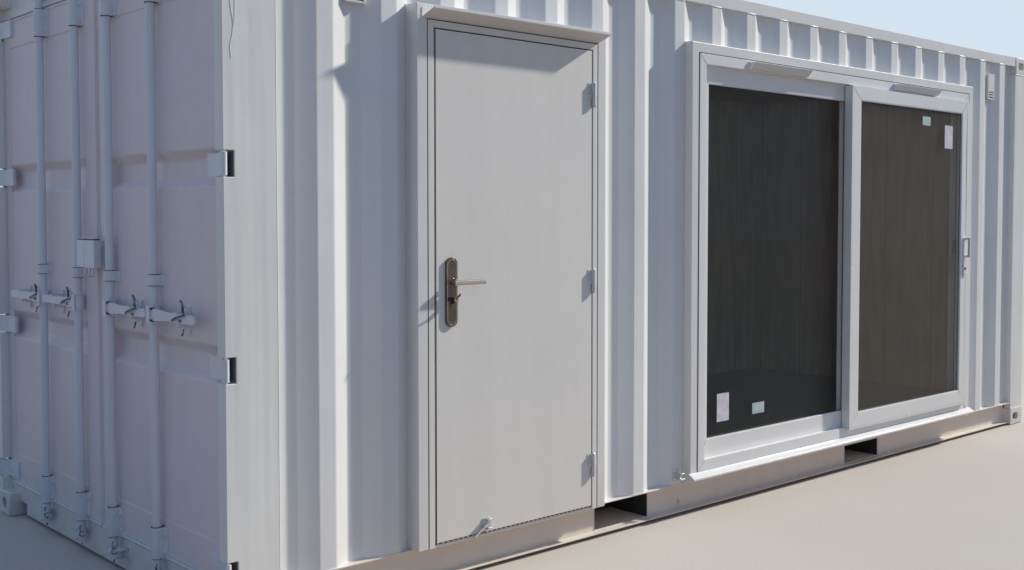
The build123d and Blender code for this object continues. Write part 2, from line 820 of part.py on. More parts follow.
sash_width = (day_right - day_left + sash_overlap) / 2
fixed_sash, fixed_glass = glazed_sash(day_left, day_left + sash_width, -fixed_front, day_foot,
                                      day_top, fixed_face, fixed_face, fixed_face, fixed_foot_face)
slide_x1 = day_right - sash_clearance
slide_x0 = slide_x1 + rim_side - sash_width
slide_foot = day_foot + sash_clearance
sliding_sash, sliding_glass = glazed_sash(slide_x0, slide_x1, -sliding_front, slide_foot,
                                          day_top - sash_clearance, sliding_inner_face,
                                          sliding_outer_face, sliding_rail_face,
                                          sliding_rail_face)
rim_back = -sliding_front + rim_depth
sliding_sash += [
    front_block(slide_x1, slide_x1 + rim_side, -sliding_front, rim_back, slide_foot - rim_foot,
                day_top - sash_clearance),
    front_block(slide_x0, slide_x1, -sliding_front, rim_back, slide_foot - rim_foot, slide_foot),
]
parts["fixed_sash"] = fixed_sash
parts["fixed_glass"] = fixed_glass
parts["sliding_sash"] = sliding_sash
parts["sliding_glass"] = sliding_glass


def sill_section():
    """A folded sill: an upstand, a sloping top and a front lip."""
    fall = pvc_foot - sill_fall
    return outline([
        (surround_proud, pvc_foot),
        (sill_front, fall),
        (sill_front, fall - sill_lip),
        (sill_front - sill_plate, fall - sill_lip),
        (sill_front - sill_plate, fall - sill_plate),
        (surround_proud, pvc_foot - sill_plate),
    ])


sill_plane = Plane((door_end + patio_left - sill_overhang, front, 0), x_dir=(0, -1, 0),
                   z_dir=(-1, 0, 0))
parts["patio_sill"] = extrude(sill_plane * sill_section(),
                              patio_left - patio_right - 2 * sill_overhang)

vent_z = pvc_top - pvc_face / 2
vent_places = [pvc_left + (pvc_right - pvc_left) * share for share in vent_shares]
parts["trickle_vents"] = [
    front_block(x - vent_size[0] / 2, x + vent_size[0] / 2, -pvc_proud - vent_size[2], -pvc_proud,
                vent_z - vent_size[1] / 2, vent_z + vent_size[1] / 2)
    for x in vent_places
]


def pull_handle(x, face, sign):
    """A plate with a C grip on the sliding sash, outside or inside."""
    plate_end = face + sign * pull_plate[2]
    grip_end = face + sign * pull_reach
    bar_face = grip_end - sign * pull_bar[1]
    head = pull_foot + pull_plate[1]
    half = pull_bar[0] / 2
    solid = front_block(x - pull_plate[0] / 2, x + pull_plate[0] / 2, min(face, plate_end),
                        max(face, plate_end), pull_foot, head)
    for z in (head - pull_grip, head - pull_bar[1]):
        solid += front_block(x - half, x + half, min(plate_end, grip_end),
                             max(plate_end, grip_end), z, z + pull_bar[1])
    return solid + front_block(x - half, x + half, min(bar_face, grip_end),
                               max(bar_face, grip_end), head - pull_grip, head)


outer_pull_x = slide_x1 + (rim_side - sliding_outer_face) / 2
parts["patio_handles"] = [
    pull_handle(outer_pull_x, -sliding_front, -1),
    pull_handle(slide_x1 - sliding_outer_face / 2, -sliding_front + sash_depth, 1),
]


# Cargo doors: a welded frame with a pressed panel, hinges, guides and locking bars
leaf_outer = frame_inset + post_face + cargo_side_gap
leaf_inner = width / 2 - cargo_meeting_gap / 2
cargo_foot = door_opening_foot + cargo_end_gap
cargo_head = door_opening_head - cargo_end_gap
leaf_face = cargo_setback
panel_face = leaf_face + panel_setback
handle_front = bar_setback - bar_radius - handle_proud
bar_foot = bar_from_ground
bar_head = height - bar_from_top
cam_foot = bar_foot + cam_thickness / 2
cam_head = bar_head - cam_thickness / 2
middle_guide_centre = handle_height + middle_guide_above_handle
lock_box_foot = handle_height + lock_box_above_handle
bar_places = {
    "outer": width / 2 - outer_bar_from_middle,
    "inner": width / 2 - inner_bar_from_middle,
}


def cargo_leaf():
    """The front cargo door: stiles and rails around a panel with two pressed bands."""
    x0, x1 = door_end + leaf_face, door_end + leaf_face + cargo_thickness
    y0, y1 = front + leaf_outer, front + leaf_inner
    inner_y0, inner_y1 = y0 + cargo_outer_stile, y1 - cargo_inner_stile
    foot, head = cargo_foot + cargo_foot_rail, cargo_head - cargo_head_rail
    leaf = block(x0, x1, y0, y1, cargo_foot, cargo_head)
    leaf -= block(x0, x1, inner_y0, inner_y1, foot, head)
    line = [(foot, panel_setback)]
    for z in swage_heights:
        half = swage_height / 2
        line += [(z - half, panel_setback), (z - half + swage_slope, panel_setback + swage_depth),
                 (z + half - swage_slope, panel_setback + swage_depth), (z + half, panel_setback)]
    line.append((head, panel_setback))
    profile = outline(line + [(z, x + sheet) for z, x in reversed(line)])
    plane = Plane((x0, inner_y0, 0), x_dir=(0, 0, 1), z_dir=(0, 1, 0))
    return leaf + extrude(plane * profile, inner_y1 - inner_y0)


def cargo_hinge(z):
    """A cranked hinge blade with a barrel round the pin."""
    neck = hinge_blade / 2
    crank_end = frame_inset + post_face + hinge_crank_room
    crank_start = crank_end - hinge_crank
    blade = outline([
        (hinge_axis - neck, hinge_axis),
        (hinge_axis + 2, crank_start),
        (leaf_face - hinge_blade, crank_end),
        (leaf_face - hinge_blade, hinge_reach),
        (leaf_face, hinge_reach),
        (leaf_face, crank_end - neck * 0.7),
        (hinge_axis + 2 + hinge_blade, crank_start - neck * 0.7),
        (hinge_axis + neck, hinge_axis),
    ])
    solid = extrude(Pos(0, 0, z - hinge_height / 2) * blade, hinge_height)
    foot, head = z - hinge_height / 2, z + hinge_height / 2
    solid += upright_rod(hinge_axis, hinge_axis, foot, head, hinge_barrel)
    solid -= upright_rod(hinge_axis, hinge_axis, foot, head, hinge_pin + pin_clearance)
    return Pos(door_end, front, 0) * solid


def bar_guide(y, z, size_z, seat):
    """A pressed bracket on the door: a flange each side and a faceted cover over the bar."""
    outer_r = bar_radius + bar_clearance + guide_cover
    inner_r = bar_radius + bar_clearance
    depth = seat - bar_setback
    cover = RegularPolygon(outer_r, 12, major_radius=False, rotation=15)
    cover += Pos(depth / 2, 0) * Rectangle(depth, 2 * outer_r)
    cover += Pos(depth - guide_flange / 2, 0) * Rectangle(guide_flange, guide_width)
    cover -= RegularPolygon(inner_r, 8, major_radius=False, rotation=22.5)
    cover -= Pos(depth / 2, 0) * Rectangle(depth, 2 * inner_r)
    cover &= Pos((depth - outer_r) / 2, 0) * Rectangle(depth + outer_r, guide_width)
    return Pos(door_end + bar_setback, front + y, z - size_z / 2) * extrude(cover, size_z)


def handle_catch(y):
    """A bolted plate with a ledge under the closed handle and a hooked arm over it."""
    gap = handle_depth / 2 + catch_room
    half = catch_height / 2
    nose_back = handle_front - catch_room
    nose_front = nose_back - catch_nose
    section = outline([
        (panel_face, -half),
        (panel_face, half),
        (panel_face - catch_plate, half),
        (panel_face - catch_plate, gap + catch_arm),
        (nose_front + catch_nose / 2, gap + catch_arm),
        (nose_front, gap + catch_arm / 2),
        (nose_front, gap + catch_arm - catch_nose_drop),
        (nose_back, gap + catch_arm - catch_nose_drop),
        (nose_back, gap),
        (panel_face - catch_plate, gap),
        (panel_face - catch_plate, -gap),
        (handle_front, -gap),
        (handle_front, -gap - catch_arm),
        (panel_face - catch_plate, -gap - catch_arm - catch_nose),
        (panel_face - catch_plate, -half),
    ])
    plane = Plane((door_end, front + y - catch_width / 2, handle_height), x_dir=(1, 0, 0),
                  z_dir=(0, -1, 0))
    return extrude(plane * section, -catch_width)


def cam(axis_x, axis_y, z):
    """A forged cam: a round boss that ends the bar and a finger that turns into its keeper."""
    shape = faceted_round(bar_radius + cam_collar)
    shape += Pos(0, -cam_reach / 2) * Rectangle(cam_width, cam_reach)
    return Pos(axis_x, axis_y, z - cam_thickness / 2) * extrude(shape, cam_thickness)


def handle(axis_y, hub):
    """The flat handle, deeper at the hub and round at its free end."""
    tip = handle_depth / 2
    blade = outline([
        (0, handle_root_depth / 2),
        (-handle_taper, handle_root_depth / 2),
        (-2 * handle_taper, tip),
        (tip - handle_length, tip),
        (tip - handle_length, -tip),
        (-2 * handle_taper, -tip),
        (-handle_taper, -handle_root_depth / 2),
        (0, -handle_root_depth / 2),
    ])
    blade += Pos(tip - handle_length, 0) * Circle(tip)
    plane = Plane((door_end + handle_front, axis_y, handle_height), x_dir=(0, 1, 0),
                  z_dir=(1, 0, 0))
    return extrude(plane * blade, handle_thickness) - hub


def locking_bar(y):
    """One bar with its hub, its two cams and the closed handle."""
    axis_x, axis_y = door_end + bar_setback, front + y
    tube_foot, tube_head = bar_foot + cam_thickness, bar_head - cam_thickness
    tube = Pos(axis_x, axis_y, (tube_foot + tube_head) / 2) * Cylinder(bar_radius,
                                                                      tube_head - tube_foot)
    hub = Pos(axis_x, axis_y, handle_height) * Cylinder(hub_radius, hub_height)
    return [tube + hub, cam(axis_x, axis_y, cam_foot), cam(axis_x, axis_y, cam_head),
            handle(axis_y, hub)]


def keeper_plane(z):
    """How far the face that carries a keeper stands back from the end."""
    return sill_setback if z < height / 2 else header_setback


def cam_keeper(y, z):
    """A fork on the sill or header that the cam turns into: a plate and two lips."""
    x0, x1 = door_end + bar_setback - bar_radius, door_end + keeper_plane(z)
    y0 = front + y - bar_radius - keeper_side_gap - keeper_width
    y1 = y0 + keeper_width
    gap = cam_thickness / 2 + keeper_room
    x2 = x1 - keeper_plate
    return [
        block(x2, x1, y0, y1, z - gap - keeper_plate, z + gap + keeper_plate),
        block(x0, x2, y0, y1, z + gap, z + gap + keeper_plate),
        block(x0, x2, y0, y1, z - gap - keeper_plate, z - gap),
    ]


def lock_box_halves():
    """The padlock box in two halves, one on each door, open below and at the meeting line."""
    x0, x1 = door_end + leaf_face - lock_box_depth, door_end + leaf_face
    y0, y1 = -lock_box_right, lock_box_width - lock_box_right
    head = lock_box_foot + lock_box_height
    box = block(x0, x1, y0, y1, lock_box_foot, head)
    box -= block(x0 + lock_box_wall, x1, y0 + lock_box_wall, y1 - lock_box_wall, lock_box_foot,
                 head - lock_box_wall)
    half_gap = cargo_meeting_gap / 2
    right_half = box & block(x0, x1, y0, -half_gap, lock_box_foot, head)
    left_half = box & block(x0, x1, half_gap, y1, lock_box_foot, head)
    return right_half, left_half


right_leaf = cargo_leaf()
right_guides = []
for y in bar_places.values():
    right_guides += [
        bar_guide(y, cargo_foot + foot_guide_from_edge, end_guide_height, leaf_face),
        bar_guide(y, middle_guide_centre, middle_guide_height, panel_face) - right_leaf,
        bar_guide(y, cargo_head - head_guide_from_edge, end_guide_height, leaf_face),
        handle_catch(y - catch_reach),
    ]
right_hinges = [cargo_hinge(z) for z in hinge_heights]
right_fittings = right_hinges + right_guides
keepers = []
for y in bar_places.values():
    keepers += cam_keeper(y, cam_foot) + cam_keeper(y, cam_head)
pins = [
    upright_rod(door_end + hinge_axis, front + hinge_axis, z - recess_height / 2,
                z + recess_height / 2, hinge_pin)
    for z in hinge_heights
]
right_box, left_box = lock_box_halves()
parts["cam_keepers"] = keepers + [mirrored(keeper) for keeper in keepers]
parts["cargo_hinge_pins"] = pins + [mirrored(pin) for pin in pins]
parts["right_cargo_door"] = right_leaf
parts["left_cargo_door"] = mirrored(right_leaf)
parts["right_door_fittings"] = right_fittings
parts["left_door_fittings"] = [mirrored(fitting) for fitting in right_fittings]
parts["right_lock_box"] = right_box
parts["left_lock_box"] = left_box
for name, y in bar_places.items():
    bar = locking_bar(y)
    parts["right_" + name + "_bar"] = bar
    parts["left_" + name + "_bar"] = [mirrored(solid) for solid in bar]


# Ventilators in the first and the last hollow of the front wall
def wall_ventilator(rib):
    """A hood on a narrower base, in the middle of the hollow after a rib, with louvres below."""
    x = rib + rib_face + (rib_pitch - rib_face) / 2
    seat = (rib_pitch - rib_face) / 2 - rib_slope - ventilator_room
    wide = seat + ventilator_flare
    back_face = hollow_level
    front_face = hollow_level - ventilator_proud
    foot = rail_foot - ventilator_drop
    shape = outline([
        (-seat, back_face),
        (-seat, back_face - ventilator_base),
        (-wide, back_face - 2 * ventilator_base),
        (-wide, front_face),
        (wide, front_face),
        (wide, back_face - 2 * ventilator_base),
        (seat, back_face - ventilator_base),
        (seat, back_face),
    ])
    hood = extrude(Pos(door_end + x, front, foot) * shape, ventilator_height)
    slot_width, slot_height, slot_depth = louvre_slot
    for n in range(louvre_count):
        slot_foot = foot + louvre_pitch * (n + 0.5)
        hood -= front_block(x - slot_width / 2, x + slot_width / 2, front_face,
                            front_face + slot_depth, slot_foot, slot_foot + slot_height)
    return hood


parts["wall_ventilators"] = [wall_ventilator(wall_ribs[0]), wall_ventilator(wall_ribs[-2])]

# Door holder: a bracket with an arm on the leaf, and a clip on the rib that the open leaf meets
holder_rib = min(wall_ribs, key=lambda x: abs(x - pin_x - holder_distance))
catch_x = holder_rib + catch_from_fold
holder_x = 2 * pin_x - catch_x


def door_holder():
    """A plate with two lugs and a flat arm that hangs between them."""
    face = leaf_front - holder_plate
    half = holder_width / 2
    end = leaf_front - holder_reach
    foot, head = holder_height - half, holder_height + half
    solid = front_block(holder_x - half, holder_x + half, face, leaf_front, foot, head)
    for z in (foot, head - holder_lug):
        solid += front_block(holder_x - half / 2, holder_x + half / 2, end, face, z,
                             z + holder_lug)
    long, thick, deep = holder_arm
    middle = (leaf_front + end) / 2
    solid += front_block(holder_x - thick / 2, holder_x + thick / 2, middle - thick / 2,
                         middle + thick / 2, foot, head)
    pivot = Pos(door_end + holder_x, front + middle, holder_height)
    arm = Pos(-long / 2, 0, 0) * Box(long, thick, deep)
    return solid + pivot * Rot(0, -holder_arm_slope, 0) * arm


def wall_catch():
    """A plate on the rib, a stem, and a clip with two lips that takes the holder."""
    base_width, base_height = catch_base
    clip_width, clip_depth, clip_lip = catch_clip
    stem = catch_stem / 2
    face = wall_offset - holder_plate
    clip_back = leaf_front + catch_stem
    half_gap = catch_clip_gap / 2
    solid = front_block(holder_rib, holder_rib + base_width, face, wall_offset,
                        holder_height - base_height / 2, holder_height + base_height / 2)
    solid += front_block(catch_x - stem, catch_x + stem, clip_back - catch_stem, face,
                         holder_height - half_gap - clip_lip, holder_height + half_gap + clip_lip)
    for z in (holder_height - half_gap - clip_lip, holder_height + half_gap):
        solid += front_block(catch_x - clip_width / 2, catch_x + clip_width / 2,
                             clip_back - catch_stem - clip_depth, clip_back - catch_stem, z,
                             z + clip_lip)
    return solid


parts["hold_open_hook"] = door_holder()
parts["wall_catch"] = wall_catch()

# The origin is the middle of the overall plan box, which the canopy widens to the front
plan_shift = Pos(0, (surround_proud + canopy_reach) / 2, 0)
os.makedirs("parts", exist_ok=True)
for name, shape in parts.items():
    pieces = shape if isinstance(shape, list) else [shape]
    placed = [plan_shift * piece for piece in pieces]
    export_step(Compound(children=placed), "parts/" + name + ".step")
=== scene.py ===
import json
import math

import bmesh
import bpy
from mathutils import Matrix, Vector


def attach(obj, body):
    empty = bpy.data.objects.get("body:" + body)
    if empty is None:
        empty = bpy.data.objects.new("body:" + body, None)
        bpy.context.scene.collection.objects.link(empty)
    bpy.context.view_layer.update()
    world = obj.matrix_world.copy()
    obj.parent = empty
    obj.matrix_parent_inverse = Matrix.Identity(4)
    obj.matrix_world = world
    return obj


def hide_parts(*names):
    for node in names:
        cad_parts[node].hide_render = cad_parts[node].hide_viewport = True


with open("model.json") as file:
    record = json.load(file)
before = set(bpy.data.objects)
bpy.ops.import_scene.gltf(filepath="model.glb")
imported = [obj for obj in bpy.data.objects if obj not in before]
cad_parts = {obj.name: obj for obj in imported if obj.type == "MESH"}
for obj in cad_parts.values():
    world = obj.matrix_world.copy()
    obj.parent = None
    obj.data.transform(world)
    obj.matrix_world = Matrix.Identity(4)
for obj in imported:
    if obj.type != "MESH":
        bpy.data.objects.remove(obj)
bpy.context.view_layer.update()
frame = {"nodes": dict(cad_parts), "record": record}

# The eye stands off the near corner, about 1.5 m above the ground. Places are read
# in millimetres from the door-end face and from the front face of the corner
# castings, as a fitter with a tape would read them.
MIDDLE = 3029.0
FRONT_FACE = 1159.0


def at(along, depth, up):
    """A point read from the door end, the front face and the ground, in metres."""
    return Vector(((along - MIDDLE) / 1000, (depth - FRONT_FACE) / 1000, up / 1000))


photo_width, photo_height = 1024.0, 570.0
lens_centre = (603.82, 259.86)
focal, sensor = 1142.37, 36.0
heading, pitch, roll = math.radians(45.369), math.radians(-2.293), math.radians(0.148)
ahead = Vector((math.cos(heading) * math.cos(pitch), math.sin(heading) * math.cos(pitch),
                math.sin(pitch)))
level_right = Vector((math.sin(heading), -math.cos(heading), 0.0))
level_up = level_right.cross(ahead)
eye_right = level_right * math.cos(roll) + level_up * math.sin(roll)
eye_up = -level_right * math.sin(roll) + level_up * math.cos(roll)
eye = bpy.data.objects.new("eye", bpy.data.cameras.new("eye"))
bpy.context.scene.collection.objects.link(eye)
turn = Matrix((eye_right, eye_up, -ahead)).transposed().to_4x4()
eye_place = at(-1819.1, -3697.1, 1486.6)
eye.matrix_world = Matrix.Translation(eye_place) @ turn
eye.data.sensor_width = sensor
eye.data.lens = focal * sensor / photo_width
eye.data.shift_x = (photo_width / 2 - lens_centre[0]) / photo_width
eye.data.shift_y = (lens_centre[1] - photo_height / 2) / photo_width
eye.data.clip_end = 200.0
bpy.context.scene.camera = eye
bpy.context.scene.view_settings.view_transform = "Standard"


# The ground is a pale level yard of fine concrete, cast in one piece, on which
# the cabin stands by its corner castings alone. It throws less light, and browner
# light near the cabin, than it shows to the eye.
class Wire:
    """An output of a finish's nodes; arithmetic on it adds Math nodes."""

    def __init__(self, tree, socket=None):
        self.tree = tree
        self.socket = socket

    def node(self, kind, values=None, out=0, **settings):
        """Adds a node with its settings, the values or wires of its sockets, and an output."""
        made = self.tree.nodes.new("ShaderNode" + kind)
        for name, value in settings.items():
            setattr(made, name, value)
        for name, value in (values or {}).items():
            if isinstance(value, Wire):
                self.tree.links.new(value.socket, made.inputs[name])
            else:
                made.inputs[name].default_value = value
        return Wire(self.tree, made.outputs[out])

    def math(self, operation, *others):
        """A Math node whose first value is this wire."""
        return self.node("Math", dict(enumerate((self, *others))), operation=operation)

    def __add__(self, other):
        return self.math("ADD", other)

    def __sub__(self, other):
        return self.math("SUBTRACT", other)

    def __rsub__(self, other):
        return self.node("Math", {0: other, 1: self}, operation="SUBTRACT")

    def __mul__(self, other):
        return self.math("MULTIPLY", other)

    def __truediv__(self, other):
        return self.math("DIVIDE", other)

    __radd__ = __add__
    __rmul__ = __mul__

    def along(self, axis):
        """How far a point of the object lies along X, Y or Z, in metres."""
        place = self.node("TexCoord", out="Object")
        return self.node("SeparateXYZ", {0: place}, out=axis)

    def noise(self, scale, detail=2.0, stretch=None):
        """Noise all over the object; stretch is its scale along X, Y and Z."""
        place = self.node("TexCoord", out="Object")
        if stretch:
            place = self.node("Mapping", {"Vector": place, "Scale": stretch})
        return self.node("TexNoise", {"Vector": place, "Scale": scale, "Detail": detail})

    def between(self, low, high):
        """0 below low, 1 above high, and a ramp in between."""
        return self.node("MapRange", {"Value": self, "From Min": low, "From Max": high})

    def mix(self, start, end):
        """The colour start where this is 0 and end where it is 1."""
        first, last = (colour if isinstance(colour, Wire) else (*colour, 1.0)
                       for colour in (start, end))
        # A Mix node has its colours on sockets 6 and 7, and the mixed one on output 2.
        return self.node("Mix", {0: self, 6: first, 7: last}, out=2, data_type="RGBA")

    def feed(self, shader, name):
        """Leads this wire into a socket of a shader."""
        self.tree.links.new(self.socket, shader.inputs[name])

    def relief(self, shader, strength, distance):
        """Makes this the height of a shader's surface, of a strength and a depth in metres."""
        values = {"Strength": strength, "Distance": distance, "Height": self}
        self.node("Bump", values).feed(shader, "Normal")


def finish_called(name, colour, roughness, metallic=0.0):
    """A new finish: its material, a wire to start from, and its shader."""
    material = bpy.data.materials.new(name)
    material.use_nodes = True
    shader = material.node_tree.nodes["Principled BSDF"]
    shader.inputs["Base Color"].default_value = (*colour, 1.0)
    shader.inputs["Roughness"].default_value = roughness
    shader.inputs["Metallic"].default_value = metallic
    return material, Wire(material.node_tree), shader


def looked_at(wire):
    """1 where the eye looks, straight or by way of gloss or glass, and 0 for light thrown on."""
    by_gloss = wire.node("LightPath", out="Is Glossy Ray")
    by_glass = wire.node("LightPath", out="Is Transmission Ray")
    straight = wire.node("LightPath", out="Is Camera Ray")
    return straight.math("MAXIMUM", by_gloss).math("MAXIMUM", by_glass)


ground_finish, wire, shader = finish_called("pale_ground", (0.60, 0.53, 0.455), 0.9)
shown = wire.noise(0.6, 6.0).mix((0.55, 0.50, 0.44), (0.63, 0.58, 0.52))
away = wire.along("Y").math("ABSOLUTE").between(1.3, 3.4)
thrown = away.mix((0.44, 0.34, 0.25), (0.17, 0.15, 0.125))
looked_at(wire).mix(thrown, shown).feed(shader, "Base Color")
wire.noise(60.0, 3.0).relief(shader, 0.25, 0.004)
half_yard, below_castings = 60.0, -0.001
ground = bmesh.new()
bmesh.ops.create_grid(ground, x_segments=1, y_segments=1, size=half_yard)
bmesh.ops.translate(ground, verts=ground.verts, vec=(0, 0, below_castings))
ground_mesh = bpy.data.meshes.new("ground")
ground.to_mesh(ground_mesh)
ground.free()
ground_mesh.materials.append(ground_finish)
ground_object = bpy.data.objects.new("ground", ground_mesh)
bpy.context.scene.collection.objects.link(ground_object)

# A soft pale dome fills the shade with cool light, and one large lamp stands
# low off the blind end, so that each rib is modelled by a bright and a dark side.
sky = bpy.data.worlds.new("sky")
bpy.context.scene.world = sky
sky.use_nodes = True
sky.node_tree.nodes.clear()
wire = Wire(sky.node_tree)
soft_light = wire.node("Background", {"Color": (0.40, 0.61, 1.0, 1), "Strength": 0.42})
backdrop = wire.node("Background", {"Color": (0.66, 0.77, 0.87, 1), "Strength": 1.0})
both = wire.node("MixShader", {0: looked_at(wire), 1: soft_light, 2: backdrop})
both.feed(sky.node_tree.nodes.new("ShaderNodeOutputWorld"), "Surface")

towards_lamp = Vector((0.796, -0.245, 0.553))
lamp = bpy.data.objects.new("key", bpy.data.lights.new("key", "SUN"))
bpy.context.scene.collection.objects.link(lamp)
lamp.data.energy = 3.95
lamp.data.angle = math.radians(2.2)
lamp.data.color = (1.0, 0.95, 0.86)
lamp.rotation_euler = towards_lamp.to_track_quat("Z", "Y").to_euler()


# Eight cast steel corner blocks carry the cabin and take the twistlocks. They are
# welded to the posts and rails, and sprayed with the same white enamel.
def toned(colour, share):
    """A colour made darker or lighter."""
    return tuple(part * share for part in colour)


def enamel(name, colour, roughness, dust, waves, ripple=0.0):
    """White enamel: drift of tone, mottle, runs, fine peel, soft dents, dust at the foot."""
    material, wire, shader = finish_called(name, colour, roughness)
    drift = wire.noise(1.3, 4.0)
    mottle = wire.noise(17.0, 5.0)
    runs = wire.noise(1.0, 6.0, stretch=(11.0, 11.0, 0.55))
    tone = 0.5 * drift + 0.2 * mottle + 0.3 * runs
    clean = tone.between(0.36, 0.64).mix(toned(colour, 0.93), toned(colour, 1.02))
    low = 1.0 - wire.along("Z").between(0.0, 0.5)
    splash = low * low * mottle.between(0.35, 0.7)
    grime = (splash + 0.25 * low * runs.between(0.5, 0.75)) * dust
    grime.mix(clean, (0.30, 0.245, 0.19)).feed(shader, "Base Color")
    (roughness + 0.10 * drift + 0.25 * grime).feed(shader, "Roughness")
    peel = wire.noise(190.0, 2.0)
    dents = wire.noise(3.2, 1.0)
    folds = wire.noise(1.0, 1.0, stretch=(16.0, 16.0, 0.8))
    (peel * 0.03 + dents * waves + folds * ripple).relief(shader, 0.6, 0.01)
    return material


paint = enamel("white_enamel", (0.80, 0.785, 0.76), 0.36, 0.3, 0.45)

riders = {node: body for body, nodes in frame["record"]["behaviour"]["bodies"].items()
          for node in nodes}
sharp_turn = math.radians(40)


def piece_called(name, shape, finish, rider):
    """Turns a bmesh in metres into a piece that rides on a body."""
    bmesh.ops.recalc_face_normals(shape, faces=shape.faces)
    for edge in shape.edges:
        edge.smooth = edge.is_manifold and edge.calc_face_angle() < sharp_turn
    for face in shape.faces:
        face.smooth = True
    mesh = bpy.data.meshes.new(name)
    shape.to_mesh(mesh)
    shape.free()
    mesh.materials.append(finish)
    piece = bpy.data.objects.new(name, mesh)
    bpy.context.scene.collection.objects.link(piece)
    shading = piece.modifiers.new("even_shading", "WEIGHTED_NORMAL")
    shading.keep_sharp = True
    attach(piece, rider)
    return piece


def rounded(shape, edges, width, steps=2):
    """Rounds edges of a shape by a width in millimetres, in steps."""
    bmesh.ops.bevel(shape, geom=edges, offset=width / 1000, segments=steps, profile=0.5,
                    affect="EDGES", clamp_overlap=True, material=-1)


def softened(node, finish, *rounds, reshaped=None):
    """A merged copy of a CAD piece, put in its place with rounded edges.

    Each round names the edges by the least and the most turn of their faces, in
    degrees, and gives a width in millimetres and a count of steps.
    """
    shape = bmesh.new()
    shape.from_mesh(frame["nodes"][node].data)
    bmesh.ops.remove_doubles(shape, verts=shape.verts, dist=0.00002)
    bmesh.ops.dissolve_limit(shape, angle_limit=math.radians(0.5), verts=shape.verts,
                             edges=shape.edges)
    if reshaped:
        reshaped(shape)
    for low, high, width, steps in rounds:
        sharp = [edge for edge in shape.edges if edge.is_manifold
                 and math.radians(low) < edge.calc_face_angle() < math.radians(high)]
        rounded(shape, sharp, width, steps)
    piece = piece_called(node + "_made", shape, finish, riders[node])
    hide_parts(node)
    return piece


for name in ("door_end_foot_castings", "door_end_head_castings", "blind_end_foot_castings",
             "blind_end_head_castings"):
    softened(name, paint, (40, 100, 1.6, 2))

# The corner posts are folded from 6 mm plate and welded between the castings. At
# the door end each has four pockets, in which the cargo hinges turn.
WIDTH = 2438.0
post_paint = enamel("post_enamel", (0.82, 0.82, 0.79), 0.38, 0.2, 0.5, 0.5)
softened("door_end_posts", post_paint, (40, 100, 2.6, 3))
softened("blind_end_posts", post_paint, (40, 100, 2.2, 2))


def from_front(depth):
    """A depth on the front half, read from the front face."""
    return depth


def from_back(depth):
    """The same depth on the back half, where everything stands as in a mirror."""
    return WIDTH - depth


def upright(depth, *places):
    """Points of one depth, each given by its place along the cabin and up it."""
    return [(along, depth, up) for along, up in places]


def bead_along(shape, points, radius, order=2):
    """A weld or sealant bead through points in millimetres, added to a shape."""
    line = bpy.data.curves.new("bead", "CURVE")
    line.dimensions = "3D"
    line.bevel_depth = radius / 1000
    line.bevel_resolution = 1
    line.use_fill_caps = True
    spline = line.splines.new("NURBS" if order > 2 else "POLY")
    spline.points.add(len(points) - 1)
    for knot, point in zip(spline.points, points):
        knot.co = (*at(*point), 1.0)
    if order > 2:
        spline.order_u = order
        spline.use_endpoint_u = True
        spline.resolution_u = 6
    holder = bpy.data.objects.new("bead", line)
    bpy.context.scene.collection.objects.link(holder)
    bpy.context.view_layer.update()
    seen_line = holder.evaluated_get(bpy.context.evaluated_depsgraph_get())
    mesh = bpy.data.meshes.new_from_object(seen_line)
    shape.from_mesh(mesh)
    bpy.data.objects.remove(holder)
    bpy.data.meshes.remove(mesh)
    bpy.data.curves.remove(line)


seams = bmesh.new()
for over in (from_front, from_back):
    fold = over(3.6)
    bead_along(seams, upright(fold, (42, 2318), (37, 2262), (35, 2196), (47, 2149), (43, 2095),
                              (31, 2060), (38, 2020)), 1.0, order=3)
    bead_along(seams, upright(fold, (50, 2318), (55, 2220), (50, 2130)), 0.9, order=3)
    for up in (118.5, 2472.5):
        bead_along(seams, upright(over(3), (5, up), (176, up)), 2.6)
        bead_along(seams, [(3, over(5), up), (3, over(60), up)], 2.6)
        bead_along(seams, [(6055, over(5), up), (6055, over(140), up)], 2.6)
        bead_along(seams, upright(over(3), (5882, up), (6053, up)), 2.6)
    corner = over(5.5)
    bead_along(seams, upright(corner, (205, 160), (206.5, 900), (205, 1700), (206, 2525)),
               2.0, order=3)
    bead_along(seams, upright(corner, (5880, 160), (5879, 1200), (5880, 2525)), 2.0, order=3)
piece_called("post_weld_beads", seams, post_paint, "cabin")


def slab(shape, along, depth, up):
    """Adds a box between two places each way, in millimetres, and gives its vertices."""
    low = at(min(along), min(depth), min(up))
    high = at(max(along), max(depth), max(up))
    place = Matrix.Translation((low + high) / 2) @ Matrix.Diagonal((*(high - low), 1.0))
    return bmesh.ops.create_cube(shape, size=1.0, matrix=place)["verts"]


# Each hinge pocket has a thin dark slab on its wall: painted shade that darkens the deep pocket
# where no light reaches.
pocket_shade, wire, shader = finish_called("dark_pocket_shade", (0.12, 0.12, 0.145), 0.7)
patch = wire.noise(30.0, 5.0)
patch.mix((0.09, 0.09, 0.115), (0.16, 0.155, 0.17)).feed(shader, "Base Color")
(0.55 + 0.3 * patch).feed(shader, "Roughness")
pocket_heights, half_pocket = (225, 941, 1657, 2373), 44
for name, over in (("front_pocket_linings", from_front), ("back_pocket_linings", from_back)):
    shade_slabs = bmesh.new()
    for up in pocket_heights:
        slab(shade_slabs, (45.3, 45.9), (over(9), over(60)), (up - half_pocket, up + half_pocket))
    piece_called(name, shade_slabs, pocket_shade, "cabin")
